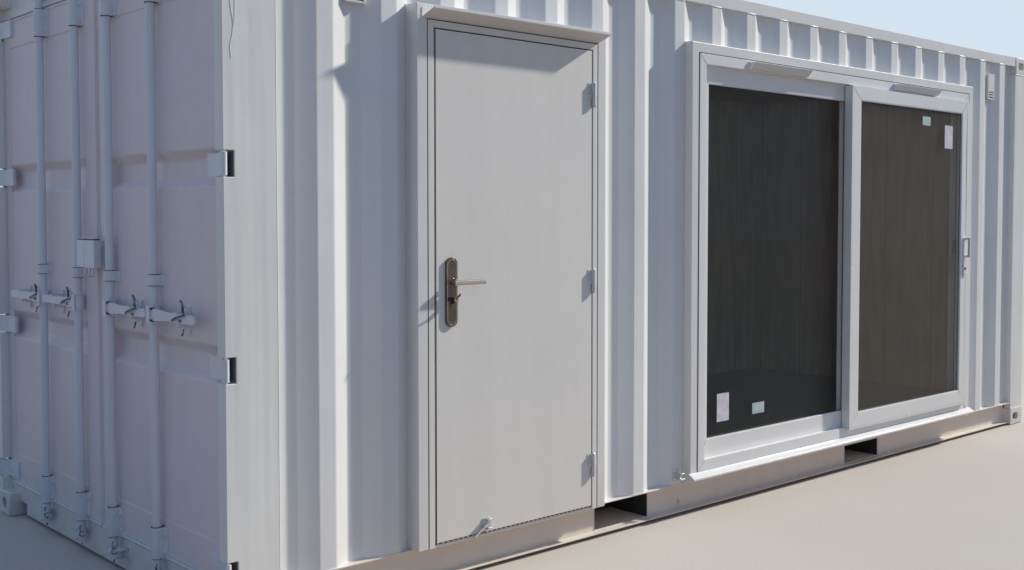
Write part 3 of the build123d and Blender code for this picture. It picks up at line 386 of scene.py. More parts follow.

# The rails, the header and the sill are rolled and folded sections, welded end to
# end between the castings, with a run of weld where each meets its neighbour.
# The enamel of the rails and fork pockets is tinted warm: painted light, standing in for the warm
# light the ground throws up onto them.
bounce_tinted_rail_paint = enamel("rail_enamel_bounce_tinted", (0.83, 0.75, 0.66), 0.38, 0.12, 0.4)
for name, finish, width in (
        ("bottom_side_rails", bounce_tinted_rail_paint, 1.2), ("top_side_rails", paint, 1.2),
        ("door_header", paint, 1.6), ("door_sill", paint, 1.6),
        ("blind_end_rails", paint, 1.2), ("fork_pockets", bounce_tinted_rail_paint, 1.2)):
    softened(name, finish, (40, 100, width, 2))


def rod(shape, start, end, radius, sides=16, tip=None):
    """Adds a round rod between two points in millimetres, tapered where it has a tip radius."""
    first, last = at(*start), at(*end)
    way = last - first
    turned = way.to_track_quat("Z", "Y").to_matrix().to_4x4()
    bmesh.ops.create_cone(shape, cap_ends=True, cap_tris=False, segments=sides,
                          radius1=radius / 1000, radius2=(radius if tip is None else tip) / 1000,
                          depth=way.length, matrix=Matrix.Translation((first + last) / 2) @ turned)


def bolt(shape, point, facing, across):
    """Adds a washer and a hexagon head that sit on a face at a point."""
    point, facing = Vector(point), Vector(facing)
    washer_top, head_top = point + facing * across * 0.14, point + facing * across * 0.58
    rod(shape, point, washer_top, across * 0.72, 14)
    rod(shape, washer_top, head_top, across * 0.56, 6, across * 0.5)


rail_work = bmesh.new()
for over in (from_front, from_back):
    for along in (178, 5880):
        bead_along(rail_work, upright(over(3.4), (along, 158), (along, 120)), 2.4)
        bead_along(rail_work, upright(over(4), (along, 2530), (along, 2583)), 2.4)
    web = over(53.4)
    for middle in (2004, 4054):
        for edge in (middle - 180, middle + 180):
            bead_along(rail_work, upright(web, (edge, 22), (edge, 137)), 1.8)
        bead_along(rail_work, upright(web, (middle - 178, 22.5), (middle + 178, 22.5)), 1.6)
stud = 2409
bolt(rail_work, (stud, 54, 55), (0, -1, 0), 16)
rod(rail_work, (stud, 46, 55), (stud, 38, 55), 4.5, 10)
slab(rail_work, (stud - 8, stud + 8), (49, 54), (36, 74))
piece_called("rail_welds_and_stud", rail_work, paint, "cabin")

# Pressed channels cross under the floor, in a thick coat of black bitumen that is
# rolled on after welding. The floor on them is oiled plywood.
bitumen, wire, shader = finish_called("bitumen_coat", (0.03, 0.03, 0.032), 0.6)
lumps = wire.noise(45.0, 4.0)
lumps.mix((0.018, 0.018, 0.02), (0.05, 0.048, 0.046)).feed(shader, "Base Color")
(0.45 + 0.3 * lumps).feed(shader, "Roughness")
lumps.relief(shader, 0.5, 0.004)
softened("cross_members", bitumen, (40, 100, 0.9, 1))


def dress(finish, *nodes):
    """Gives CAD pieces that keep their shape their finish."""
    for node in nodes:
        shown = frame["nodes"][node]
        shown.data.materials.clear()
        shown.data.materials.append(finish)


def lines_every(position, pitch, half_width):
    """1 on narrow lines across a direction, 0 between them."""
    away = ((position / pitch).math("FRACT") - 0.5).math("ABSOLUTE")
    return away.between(0.5 - half_width / pitch, 0.5 - 0.4 * half_width / pitch)


plywood, wire, shader = finish_called("oiled_plywood", (0.20, 0.13, 0.08), 0.5)
veneer = wire.noise(2.0, 8.0, stretch=(1.2, 16.0, 16.0))
plank = lines_every(wire.along("X") + 10.0, 1.2, 0.003)
grain = veneer.mix((0.10, 0.065, 0.04), (0.23, 0.15, 0.095))
plank.mix(grain, (0.02, 0.015, 0.01)).feed(shader, "Base Color")
(0.4 + 0.25 * veneer).feed(shader, "Roughness")
(veneer - plank).relief(shader, 0.3, 0.002)
dress(plywood, "floor")

# The walls, the blind end and the roof are 2 mm sheet, pressed into ribs with a
# round fold, and welded to the rails with a sealed bead all along.
sheet_paint = enamel("sheet_enamel", (0.80, 0.79, 0.775), 0.34, 0.3, 0.9, 0.22)
# The side walls take a lighter copy of the sheet enamel: painted light that makes up for the
# grazing lamp on them, while the blind end and the roof keep the darker copy.
lightened_side_paint = enamel("side_sheet_enamel_lightened", (0.84, 0.84, 0.835), 0.34, 0.25, 0.9, 0.22)
for name in ("front_wall_sheets", "back_wall_sheet"):
    softened(name, lightened_side_paint, (15, 50, 7.0, 3))
softened("blind_end_sheet", sheet_paint, (40, 80, 5.0, 3))
softened("roof_sheet", sheet_paint, (40, 70, 3.5, 2))

first_rib, rib_pitch, rib_count = 367.0, 278.0, 20
rib_flat, rib_slope = 72, 70
rib_face, valley_face = 5, 41
post_edge = 5880
ribs = [first_rib + rib_pitch * n for n in range(rib_count)]


def rib_line(first, last, up, over):
    """The points where the outer face of the folded sheet turns, from one place to another."""
    points = [(first, over(sheet_depth(first)), up)]
    for rib in ribs:
        for turn_at, depth in ((rib - rib_slope, valley_face), (rib, rib_face),
                               (rib + rib_flat, rib_face),
                               (rib + rib_flat + rib_slope, valley_face)):
            if first < turn_at < last and turn_at < post_edge:
                points.append((turn_at, over(depth), up))
    return points + [(last, over(sheet_depth(last)), up)]


def sheet_depth(along):
    """How deep the outer face of the folded sheet lies at a place along the wall."""
    away = min(abs(along - (rib + rib_flat / 2)) for rib in ribs)
    down_slope = min(max((away - rib_flat / 2) / rib_slope, 0), 1)
    return rib_face + (valley_face - rib_face) * down_slope


wall, door_gap, patio_gap = (206, 5879), (776, 1802), (2390, 5190)
front_runs = ((wall[0], door_gap[0]), (door_gap[1], patio_gap[0]), (patio_gap[1], wall[1]))
beads = bmesh.new()
for over, foot_runs in ((from_front, front_runs), (from_back, (wall,))):
    for first, last in foot_runs:
        bead_along(beads, rib_line(first, last, 161.5, over), 2.4)
    bead_along(beads, rib_line(*wall, 2523.5, over), 2.4)
bead_along(beads, rib_line(*door_gap, 2301.5, from_front), 2.4)
bead_along(beads, rib_line(*patio_gap, 2326.5, from_front), 2.4)
piece_called("sheet_sealed_beads", beads, sheet_paint, "cabin")

# Flat plates stiffen the four corners of the roof, where a crane's hooks knock,
# and a bead runs along the roof sheet on each side.
roof_plates = bmesh.new()
for along in ((180, 420), (5700, 5878)):
    for over in (from_front, from_back):
        slab(roof_plates, along, (over(6), over(62)), (2584.8, 2588.5))
for over in (from_front, from_back):
    bead_along(roof_plates, upright(over(65.5), (166, 2585), (5990, 2585)), 2.2)
piece_called("roof_corner_plates", roof_plates, paint, "cabin")

# Inside, the walls and the ceiling are lined with brown board, butted at each
# joint and screwed to battens that the ribs hide.
board, wire, shader = finish_called("lining_board", (0.34, 0.23, 0.15), 0.55)
fibre = wire.noise(2.0, 9.0, stretch=(9.0, 9.0, 1.1))
cloud = wire.noise(2.2, 3.0)
tone = 0.65 * fibre + 0.35 * cloud
boards = tone.between(0.34, 0.66).mix((0.42, 0.28, 0.175), (0.66, 0.47, 0.31))
joint_along = lines_every(wire.along("X") + 10.11, 0.61, 0.004)
joint_across = lines_every(wire.along("Y") + 10.07, 0.4, 0.004)
joint = joint_along.math("MAXIMUM", joint_across)
joint.mix(boards, (0.17, 0.11, 0.07)).feed(shader, "Base Color")
(0.45 + 0.2 * fibre).feed(shader, "Roughness")
(0.3 * fibre - joint).relief(shader, 0.35, 0.002)
dress(board, "wall_lining", "ceiling_lining")

# The personnel door hangs in a welded tube surround. Its frame is folded steel
# with a factory coat a shade warmer than the walls, bedded in a dark sealant.
coat = enamel("door_coat", (0.84, 0.81, 0.76), 0.40, 0.2, 0.12)
softened("door_surround", paint, (40, 100, 3.5, 3))
softened("door_frame", coat, (40, 100, 1.6, 2))
softened("door_leaf", coat, (40, 100, 1.6, 2))
softened("door_canopy", paint, (10, 100, 0.9, 2))

rubber, wire, shader = finish_called("black_rubber", (0.022, 0.022, 0.024), 0.6)
bloom = wire.noise(70.0, 3.0)
bloom.mix((0.015, 0.015, 0.017), (0.045, 0.045, 0.048)).feed(shader, "Base Color")
(0.5 + 0.25 * bloom).feed(shader, "Roughness")
sealant, rebate, inside_lip = (-40.4, -38.0), (-35.5, -20.0), (6.2, 7.8)
sealing = bmesh.new()
slab(sealing, (825.2, 828.4), sealant, (162, 2242))
slab(sealing, (1749.6, 1752.6), sealant, (162, 2242))
slab(sealing, (828.4, 1749.6), sealant, (2240.2, 2243.2))
# The rubber strips in the rebate beside and above the leaf, and the strip on the leaf's edge, are
# the seal made dark and wide enough to paint the shade in the gap beside the leaf as well.
slab(sealing, (857.0, 860.2), rebate, (172, 2211))
slab(sealing, (860.2, 1716), rebate, (2209.0, 2211.4))
slab(sealing, (856.5, 861.0), inside_lip, (172, 2212))
slab(sealing, (1717.0, 1721.5), inside_lip, (172, 2212))
slab(sealing, (861, 1717), inside_lip, (2208.2, 2212.5))
piece_called("personnel_door_seal", sealing, rubber, "cabin")
edge_seal_and_shade = bmesh.new()
slab(edge_seal_and_shade, (861.4, 866.6), (-38.7, -37.8), (178, 2207))
piece_called("leaf_edge_seal_and_shade", edge_seal_and_shade, rubber, "personnel_door")

# A rubber sweep closes the gap under the leaf, held by a row of pale clips that
# show as dashes from outside.
sweep = bmesh.new()
slab(sweep, (862, 1716), (-38.2, -31), (172.0, 177.2))
piece_called("threshold_sweep", sweep, rubber, "cabin")
first_clip, clip_pitch, clip_count, clip_length = 868, 25, 34, 6
clips = bmesh.new()
for step in range(clip_count):
    start = first_clip + step * clip_pitch
    slab(clips, (start, start + clip_length), (-38.6, -36), (173, 176.4))
piece_called("threshold_clips", clips, coat, "cabin")

# Hinges, pins and small catches are zinc plated steel. Each hinge is a pair of
# rolled knuckles with a screwed strap, and the upper half lifts off its pin.
zinc, wire, shader = finish_called("dull_zinc", (0.50, 0.51, 0.52), 0.42, 0.85)
place = wire.node("TexCoord", out="Object")
spangle = wire.node("TexVoronoi", {"Vector": place, "Scale": 260.0})
spangle.mix((0.44, 0.45, 0.46), (0.58, 0.59, 0.60)).feed(shader, "Base Color")
(0.36 + 0.15 * spangle).feed(shader, "Roughness")
painted_zinc = enamel("painted_hinge", (0.66, 0.665, 0.67), 0.35, 0.1, 0.1)
for name in ("door_hinge_knuckles", "door_hinge_straps"):
    softened(name, painted_zinc, (40, 100, 0.5, 1))
for name in ("cargo_hinge_pins", "hold_open_hook", "wall_catch"):
    softened(name, zinc, (40, 100, 0.8, 1))

hinge_heights = (364, 1189.5, 2015)
pin_line, half_hinge = 1719.5, 50
pin_caps = bmesh.new()
strap_screws = bmesh.new()
for middle in hinge_heights:
    for shape, way in ((pin_caps, -1), (strap_screws, 1)):
        end = middle + way * half_hinge
        rod(shape, (pin_line, -49, end), (pin_line, -49, end + way * 4), 8.0, 20, 4.5)
    for up in (-36, -14):
        rod(pin_caps, (1734, -43, middle + up), (1734, -44.6, middle + up), 4.0, 14, 3.2)
    for up in (14, 36):
        rod(strap_screws, (1704, -41, middle + up), (1704, -42.6, middle + up), 4.0, 14, 3.2)
piece_called("hinge_foot_caps", pin_caps, zinc, "cabin")
piece_called("hinge_head_caps", strap_screws, zinc, "personnel_door")

fixings = bmesh.new()
for up in (196, 228):
    for along in (1104, 1128):
        bolt(fixings, (along, -42, up), (0, -1, 0), 7)
piece_called("holder_screws", fixings, zinc, "personnel_door")
fixings = bmesh.new()
for up in (190, 234):
    bolt(fixings, (2344, 2, up), (0, -1, 0), 8)
piece_called("wall_catch_screws", fixings, zinc, "cabin")

# The handle set is satin nickel on steel: a long backplate with a raised rim each
# side of the leaf, a lever on a round rose, and a profile cylinder below it.
satin, wire, shader = finish_called("satin_steel", (0.15, 0.125, 0.105), 0.28, 1.0)
brush = wire.noise(1.0, 3.0, stretch=(60.0, 60.0, 1500.0))
haze = wire.noise(14.0, 3.0)
hazed = haze.between(0.35, 0.65).mix((0.10, 0.08, 0.068), (0.155, 0.132, 0.115))
hazed.feed(shader, "Base Color")
(0.14 + 0.16 * brush + 0.1 * haze).feed(shader, "Roughness")
brush.relief(shader, 0.2, 0.0004)
softened("door_handle_plates", satin, (50, 100, 1.8, 3))
bright, wire, shader = finish_called("bright_steel", (0.62, 0.58, 0.54), 0.2, 1.0)
rub = wire.noise(35.0, 4.0)
rub.mix((0.34, 0.31, 0.28), (0.52, 0.48, 0.44)).feed(shader, "Base Color")
(0.13 + 0.2 * rub).feed(shader, "Roughness")
softened("door_lever", bright, (40, 100, 1.3, 2))
brass, wire, shader = finish_called("worn_brass", (0.50, 0.33, 0.14), 0.3, 1.0)
rub = wire.noise(90.0, 4.0)
rub.mix((0.36, 0.22, 0.09), (0.62, 0.44, 0.22)).feed(shader, "Base Color")
(0.2 + 0.25 * rub).feed(shader, "Roughness")

plate_line, lock_height = 936.5, 1146
plate_faces = ((-48, -1), (16, 1))
plate_work = bmesh.new()
for face, way in plate_faces:
    for up in (1064, 1285):
        rod(plate_work, (plate_line, face, up), (plate_line, face + way * 1.6, up), 4.6, 16, 3.6)
    rod(plate_work, (plate_line, face, 1213), (plate_line, face + way * 2.4, 1213), 19.0, 32, 17.0)
    slab(plate_work, (plate_line - 8, plate_line + 8), (face, face + way * 2.6), (1116, 1136))
    rod(plate_work, (plate_line, face, 1135), (plate_line, face + way * 2.6, 1135), 8.2, 20, 7.6)
piece_called("backplate_screws", plate_work, satin, "personnel_door")
outline = [(-22.5, 1064), (-22.5, 1285), (-12.5, 1300), (0, 1306.5), (12.5, 1300), (22.5, 1285),
           (22.5, 1064), (12.5, 1049), (0, 1042.5), (-12.5, 1049), (-22.5, 1064)]
rims = bmesh.new()
for face, way in plate_faces:
    for (off, up), (next_off, next_up) in zip(outline, outline[1:]):
        rod(rims, (plate_line + off, face, up), (plate_line + next_off, face, next_up), 1.0, 8)
piece_called("backplate_rims", rims, bright, "personnel_door")
cylinder = bmesh.new()
for face, end in ((-73.8, -75.2), (27.8, 29.2)):
    rod(cylinder, (plate_line, face, lock_height), (plate_line, end, lock_height), 8.3, 24, 7.4)
piece_called("cylinder_plugs", cylinder, brass, "personnel_door")

# A small steel turn knob stands on the cylinder outside and locks the door. Its
# stem leans up to a short round end, turned from one bar.
knob_foot, knob_neck, knob_end = (936.5, -74.5, 1146), (937.5, -93, 1163), (938.2, -101, 1170.4)
knob = bmesh.new()
rod(knob, knob_foot, knob_neck, 3.4, 16)
rod(knob, knob_neck, knob_end, 4.6, 16, 3.2)
piece_called("door_knob", knob, satin, "personnel_door")

# The sliding door is white PVC profile, welded at its mitres, in a steel tube
# surround. The skin has a soft gloss and picks up very little dust.
softened("patio_surround", paint, (40, 100, 3.5, 3))
pvc, wire, shader = finish_called("white_pvc", (0.84, 0.83, 0.81), 0.24)
ripple = wire.noise(9.0, 2.0)
film = wire.noise(2.0, 5.0).between(0.3, 0.7)
film.mix((0.82, 0.81, 0.79), (0.86, 0.85, 0.83)).feed(shader, "Base Color")
(0.18 + 0.14 * ripple).feed(shader, "Roughness")
ripple.relief(shader, 0.08, 0.002)
softened("patio_frame", pvc, (50, 100, 1.6, 2))


def drawn(*moves):
    """A change of shape: what lies between two places along moves along by some millimetres."""
    def change(shape):
        for vert in shape.verts:
            for first, last, way in moves:
                if at(first, 0, 0).x < vert.co.x < at(last, 0, 0).x:
                    vert.co.x += way / 1000
                    break
    return change


# The fixed sash's stiles stand half behind the frame and half behind the other
# sash, whose first stile stands further over the fixed one. Both are white PVC.
sliding_move = drawn((0, 3900, -30))
softened("fixed_sash", pvc, (50, 100, 2.2, 2), reshaped=drawn((2570, 2600, -31), (3730, 3750, 30)))
softened("sliding_sash", pvc, (50, 100, 2.2, 2), reshaped=sliding_move)
softened("patio_sill", pvc, (10, 100, 1.0, 2))
softened("patio_handles", pvc, (50, 100, 1.6, 2))


# Sloped glazing beads snap in round each pane, with a thin black gasket that
# grips the glass inside and out.
def ring_strip(shape, along, up, depth, width, thick):
    """Adds a mitred strip round an opening: a flat ring, given a thickness inwards."""
    middle = at(sum(along) / 2, depth, sum(up) / 2)
    size = Matrix.Diagonal(((along[1] - along[0]) / 2000, (up[1] - up[0]) / 2000, 1.0, 1.0))
    place = Matrix.Translation(middle) @ Matrix.Rotation(math.radians(90), 4, "X") @ size
    sheet = bmesh.ops.create_grid(shape, x_segments=1, y_segments=1, size=1.0, matrix=place)
    face = sheet["verts"][0].link_faces[0]
    bmesh.ops.inset_region(shape, faces=[face], thickness=width / 1000, use_even_offset=True,
                           use_boundary=True)
    sides = [near for edge in face.edges for near in edge.link_faces if near is not face]
    bmesh.ops.delete(shape, geom=[face], context="FACES_ONLY")
    pulled = bmesh.ops.extrude_face_region(shape, geom=sides, use_keep_orig=True)
    moved = [item for item in pulled["geom"] if isinstance(item, bmesh.types.BMVert)]
    bmesh.ops.translate(shape, verts=moved, vec=(0, thick / 1000, 0))


def smaller(span, by):
    """A span drawn in by as many millimetres at both ends."""
    return span[0] + by, span[1] - by


for name, rider, along, up, face, glass in (
        ("fixed", "cabin", (2551, 3770), (356, 2137), -6, 7),
        ("sliding", "patio_slider", (3835, 5015), (345, 2142), -62, -49)):
    beads = bmesh.new()
    ring_strip(beads, along, up, face + 2.5, 4.5, glass - face - 3.5)
    piece_called(name + "_glazing_beads", beads, pvc, rider)
    gasket = bmesh.new()
    ring_strip(gasket, smaller(along, 4.5), smaller(up, 4.5), glass - 2.4, 3.2, 2.2)
    ring_strip(gasket, smaller(along, 0.5), smaller(up, 0.5), glass + 24.2, 6.0, 2.2)
    piece_called(name + "_glass_gasket", gasket, rubber, rider)

# The frame is bedded in its steel surround with a black cord that shows as a line
# all round, and a brush stands where the sliding sash meets the fixed one.
cord = bmesh.new()
ring_strip(cord, (2441.5, 5138.5), (214, 2277), -41.6, 3.6, 1.4)
piece_called("frame_bedding_cord", cord, rubber, "cabin")
brush_seal = bmesh.new()
slab(brush_seal, (3778.5, 3783), (-13.5, -6.5), (272, 2215))
piece_called("meeting_brush", brush_seal, rubber, "cabin")

# Each mitre is a welded joint, scraped flat, that shows as a fine grey line from
# the outer to the inner corner of the profile.
weld_grey, wire, shader = finish_called("mitre_line", (0.30, 0.31, 0.33), 0.5)
wire.noise(200.0).mix((0.24, 0.25, 0.27), (0.36, 0.37, 0.39)).feed(shader, "Base Color")
for name, rider, outer, inner, depth in (
        ("frame", "cabin", (2446, 5134, 214, 2273), (2496, 5084, 264, 2223), -42.2),
        ("fixed", "cabin", (2496, 3826, 264, 2223), (2551, 3770, 356, 2137), -6.2),
        ("sliding", "patio_slider", (3745, 5079, 269, 2218), (3835, 5015, 345, 2142), -62.2)):
    mitres = bmesh.new()
    for along in (0, 1):
        for up in (2, 3):
            rod(mitres, (outer[along], depth, outer[up]), (inner[along], depth, inner[up]), 0.7, 6)
    piece_called(name + "_mitre_lines", mitres, weld_grey, rider)

# Each sash holds a sealed double-glazed unit, set in its own stiles. It looks dark
# because the cabin behind it is unlit. A thin veil of colour on each pane is a painted
# reflection, grey-teal on the fixed pane and brown on the sliding one, and it varies
# over the pane as a faint film of dust.
for node, clean, dusty_reflection, veil, change in (
        ("fixed_glass", (0.075, 0.11, 0.12), (0.10, 0.14, 0.15), 0.13,
         drawn((0, 2600, -31), (2600, 6058, 30))),
        ("sliding_glass", (0.22, 0.20, 0.17), (0.28, 0.26, 0.22), 0.17, sliding_move)):
    pane, wire, shader = finish_called(node + "_film", clean, 0.03)
    shader.inputs["Alpha"].default_value = veil
    film = wire.noise(5.0, 5.0)
    film.mix(clean, dusty_reflection).feed(shader, "Base Color")
    (0.02 + 0.06 * film).feed(shader, "Roughness")
    softened(node, pane, (50, 100, 0.8, 1), reshaped=change)

# Blank paper stickers from the glazier are still on the panes, a tall one and a
# small one on each.
papers = []
for name, dull, clear in (("blank_paper", (0.60, 0.55, 0.64), (0.74, 0.71, 0.76)),
                          ("blank_film", (0.40, 0.50, 0.50), (0.54, 0.64, 0.62))):
    paper, wire, shader = finish_called(name, clear, 0.7)
    crease = wire.noise(28.0, 5.0)
    crease.between(0.35, 0.65).mix(dull, clear).feed(shader, "Base Color")
    crease.relief(shader, 0.4, 0.002)
    papers.append(paper)
paper_thickness = 0.35
for name, rider, along, up, depth, paper in (
        ("fixed_tall_sticker", "cabin", (2648, 2744), (430, 574), 6.6, papers[0]),
        ("fixed_small_sticker", "cabin", (2938, 3040), (436, 494), 6.6, papers[1]),
        ("sliding_small_sticker", "patio_slider", (4538, 4632), (2040, 2094), -49.4, papers[1]),
        ("sliding_tall_sticker", "patio_slider", (4811, 4911), (1908, 2054), -49.4, papers[0])):
    sticker = bmesh.new()
    slab(sticker, along, (depth, depth + paper_thickness), up)
    corners = [edge for edge in sticker.edges if edge.calc_length() < 0.001]
    rounded(sticker, corners, 1.5)
    piece_called(name, sticker, paper, rider)

# Two trickle ventilators are clipped along the head of the frame: a body, and a
# hood that leans out, with a dark strip of painted shade in the slot behind its upper edge.
softened("trickle_vents", pvc, (50, 100, 1.2, 2))
hood_fold, lean, flare = 2.250, 0.024, 0.004
cheek_back = at(0, -62, 0).y
hoods = bmesh.new()
slot_shade = bmesh.new()
for middle in (3079, 4460):
    for vert in slab(hoods, (middle - 248, middle + 248), (-57, -54), (2229, 2262)):
        if vert.co.z > hood_fold:
            vert.co.y -= lean
            vert.co.x += flare
        else:
            vert.co.x -= flare
    for end in (-1, 1):
        cheek = (middle + end * 246, middle + end * 249)
        for vert in slab(hoods, cheek, (-79, -54), (2238, 2260)):
            if vert.co.z < hood_fold:
                vert.co.y = max(vert.co.y, cheek_back)
    slab(slot_shade, (middle - 242, middle + 242), (-55.5, -53.8), (2240, 2264))
piece_called("trickle_hoods", hoods, pvc, "cabin")
piece_called("trickle_slot_shade", slot_shade, rubber, "cabin")

# The pull on the sliding sash is a C grip with a grey painted insert, and a small
# cylinder between two screws on its plate.
insert = bmesh.new()
slab(insert, (5050.4, 5069.6), (-105.2, -96), (1216, 1337))
rounded(insert, insert.edges[:], 2.2)
piece_called("pull_insert", insert, painted_zinc, "patio_slider")
pull_line, plate_face = 5060, -70
latch = bmesh.new()
rod(latch, (pull_line, plate_face, 1140), (pull_line, plate_face - 4, 1140), 9.0, 24, 8.2)
for up in (1104, 1190):
    rod(latch, (pull_line, plate_face, up), (pull_line, plate_face - 1.6, up), 4.2, 14, 3.2)
piece_called("pull_cylinder", latch, satin, "patio_slider")


# The cargo doors are pressed steel panels in a welded frame, hung on four cranked
# hinges each, with two locking bars on each door that turn in bolted guides.
def catches_slimmed(shape):
    """Each handle catch is a narrow bent strip, with a short nose over the handle."""
    lines = [over(line) for over in (from_front, from_back) for line in (372, 797)]
    half_catch, foot, nose, head = 19, 1030, 1120, 1170
    for vert in shape.verts:
        depth = vert.co.y * 1000 + FRONT_FACE
        up = vert.co.z * 1000
        for line in lines:
            if abs(depth - line) < half_catch and foot < up < head:
                vert.co.y = at(0, line + (depth - line) * 0.45, 0).y
                if up > nose:
                    vert.co.z = (nose + (up - nose) * 0.5) / 1000


# The door enamel is tinted pink: a painted reflection of the warm ground in the shaded door end,
# on doors that are white.
ground_tinted_door_paint = enamel("cargo_door_enamel_ground_tinted", (0.81, 0.73, 0.75), 0.42, 0.3, 1.1, 0.45)
# The lock gear enamel is tinted blue: a painted reflection of the sky on the round bars and
# fittings, which are white.
sky_tinted_gear_paint = enamel("lock_gear_enamel_sky_tinted", (0.74, 0.775, 0.84), 0.33, 0.4, 0.3)
for side in ("right", "left"):
    softened(side + "_cargo_door", ground_tinted_door_paint, (35, 55, 7.0, 3), (60, 100, 1.2, 2))
    softened(side + "_door_fittings", sky_tinted_gear_paint, (50, 100, 0.9, 2), reshaped=catches_slimmed)
    for bar in ("outer", "inner"):
        softened(side + "_" + bar + "_bar", sky_tinted_gear_paint, (50, 100, 1.5, 2))
softened("cam_keepers", sky_tinted_gear_paint, (60, 100, 2.2, 2))

# Each door is sealed all round by a painted rubber gasket with a thin lip. Bolts
# hold the guides of the bars, and weld beads hold the panel in its frame.
gasket_paint, wire, shader = finish_called("painted_gasket", (0.74, 0.74, 0.76), 0.5)
flakes = wire.noise(55.0, 5.0)
flaked = flakes.between(0.40, 0.70).mix((0.74, 0.74, 0.77), (0.67, 0.67, 0.70))
flaked.feed(shader, "Base Color")
(0.42 + 0.3 * flakes).feed(shader, "Roughness")
sides = (("right", from_front), ("left", from_back))
bar_lines = {"outer": 620, "inner": 1045}
guide_bolts = (((181, 249), 40, 15), ((1230,), 43, 12), ((2311, 2379), 40, 15))
for side, over in sides:
    rider = side + "_door"
    lip = bmesh.new()
    rod(lip, (46.6, over(70), 158), (46.6, over(1211), 158), 6.0, 16)
    slab(lip, (45.0, 48.2), (over(69), over(1212)), (166, 174))
    slab(lip, (44.5, 48.2), (over(69), over(1212)), (2404, 2416))
    for depth in (1204, 75):
        rod(lip, (47.4, over(depth), 160), (47.4, over(depth), 2410), 3.4, 14)
    slab(lip, (52, 95), (over(1212.8), over(1217.5)), (155, 2414))
    piece_called(side + "_door_gasket", lip, gasket_paint, rider)

    seats = bmesh.new()
    for line in bar_lines.values():
        for heights, face, across in guide_bolts:
            for way in (-34, 34):
                for up in heights:
                    bolt(seats, (face, over(line) + way, up), (-1, 0, 0), across)
    piece_called(side + "_door_bolts", seats, sky_tinted_gear_paint, rider)

    frame_beads = bmesh.new()
    for up in (301.5, 2281.5):
        bead_along(frame_beads, [(50.4, over(127), up), (50.4, over(1077), up)], 2.2)
    for depth in (126.5, 1077.5):
        for first, last in ((302, 876), (1014, 1581), (1719, 2281)):
            bead_along(frame_beads, [(50.4, over(depth), first), (50.4, over(depth), last)], 2.2)
    piece_called(side + "_panel_beads", frame_beads, ground_tinted_door_paint, rider)

# Each bar ends its handle in a clevis: two ears and a face plate on the hub, with a
# pin through them. It is forged steel in the same paint as the bars.
for side, over in sides:
    for name, line in bar_lines.items():
        rider = side + "_" + name + "_lock"
        clevis = bmesh.new()
        for up in (1069, 1131):
            slab(clevis, (-1.5, 26), (over(line - 30), over(line + 17)), (up - 4, up + 4))
        slab(clevis, (-3.5, 1.5), (over(line - 14), over(line + 18)), (1065, 1135))
        rounded(clevis, clevis.edges[:], 1.2)
        rod(clevis, (8, over(line - 22), 1063), (8, over(line - 22), 1137), 4.5, 14)
        piece_called(side + "_" + name + "_clevis", clevis, sky_tinted_gear_paint, rider)
        # Dark slabs between each ear and the handle are painted shade in those gaps.
        shade_gaps = bmesh.new()
        for up in ((1073.5, 1082), (1118, 1126.5)):
            slab(shade_gaps, (-1.0, 12), (over(line - 15), over(line - 28)), up)
        piece_called(side + "_" + name + "_clevis_shade_gaps", shade_gaps, rubber, rider)

# A bent wire hook over each handle keeps it shut: a curl above on the door, a tongue
# across the handle, and the end of its pin below. The paint is worn off the wire.
worn_steel, wire, shader = finish_called("worn_steel", (0.10, 0.11, 0.16), 0.45, 0.6)
wear = wire.noise(60.0, 4.0)
bared = wear.between(0.46, 0.70).mix((0.06, 0.065, 0.10), (0.40, 0.42, 0.48))
bared.feed(shader, "Base Color")
(0.35 + 0.25 * wear).feed(shader, "Roughness")
for side, name, line, drop in (("right", "outer", 307, 0), ("right", "inner", 732, -3),
                               ("left", "inner", 1429, -5), ("left", "outer", 1825, -9)):
    stem = bmesh.new()
    bead_along(stem, [(22, line + 6, 1128 + drop), (8, line + 18, 1150 + drop),
                      (-3, line + 25, 1167 + drop)], 3.6, order=3)
    bead_along(stem, [(22, line + 2, 1080 + drop), (8, line + 4, 1070 + drop),
                      (-2, line + 3, 1065 + drop)], 3.6, order=3)
    piece_called(side + "_" + name + "_hook_stem", stem, sky_tinted_gear_paint, side + "_door")
    curl = bmesh.new()
    bead_along(curl, [(-3, line + 25, 1167 + drop), (-8, line + 18, 1168 + drop),
                      (-9, line + 4, 1164 + drop), (-8, line - 2, 1150 + drop),
                      (-7, line + 1, 1136 + drop), (-6, line, 1121)], 4.6, order=3)
    bead_along(curl, [(-2, line + 3, 1065 + drop), (-7, line, 1056 + drop),
                      (-6, line + 2, 1044 + drop), (-4, line + 18, 1042 + drop)], 3.4, order=3)
    piece_called(side + "_" + name + "_hook", curl, worn_steel, side + "_door")
    tongue = bmesh.new()
    bead_along(tongue, [(-1, line + 2, 1116.5), (-5, line + 10, 1115), (-6.5, line + 34, 1110),
                        (-6.5, line + 70, 1101), (-5, line + 96, 1093), (-1, line + 104, 1090)],
               4.2, order=3)
    slab(tongue, (-1.5, 3.2), (line + 36, line + 52), (1086, 1096))
    piece_called(side + "_" + name + "_tongue", tongue, worn_steel,
                 side + "_" + name + "_lock")


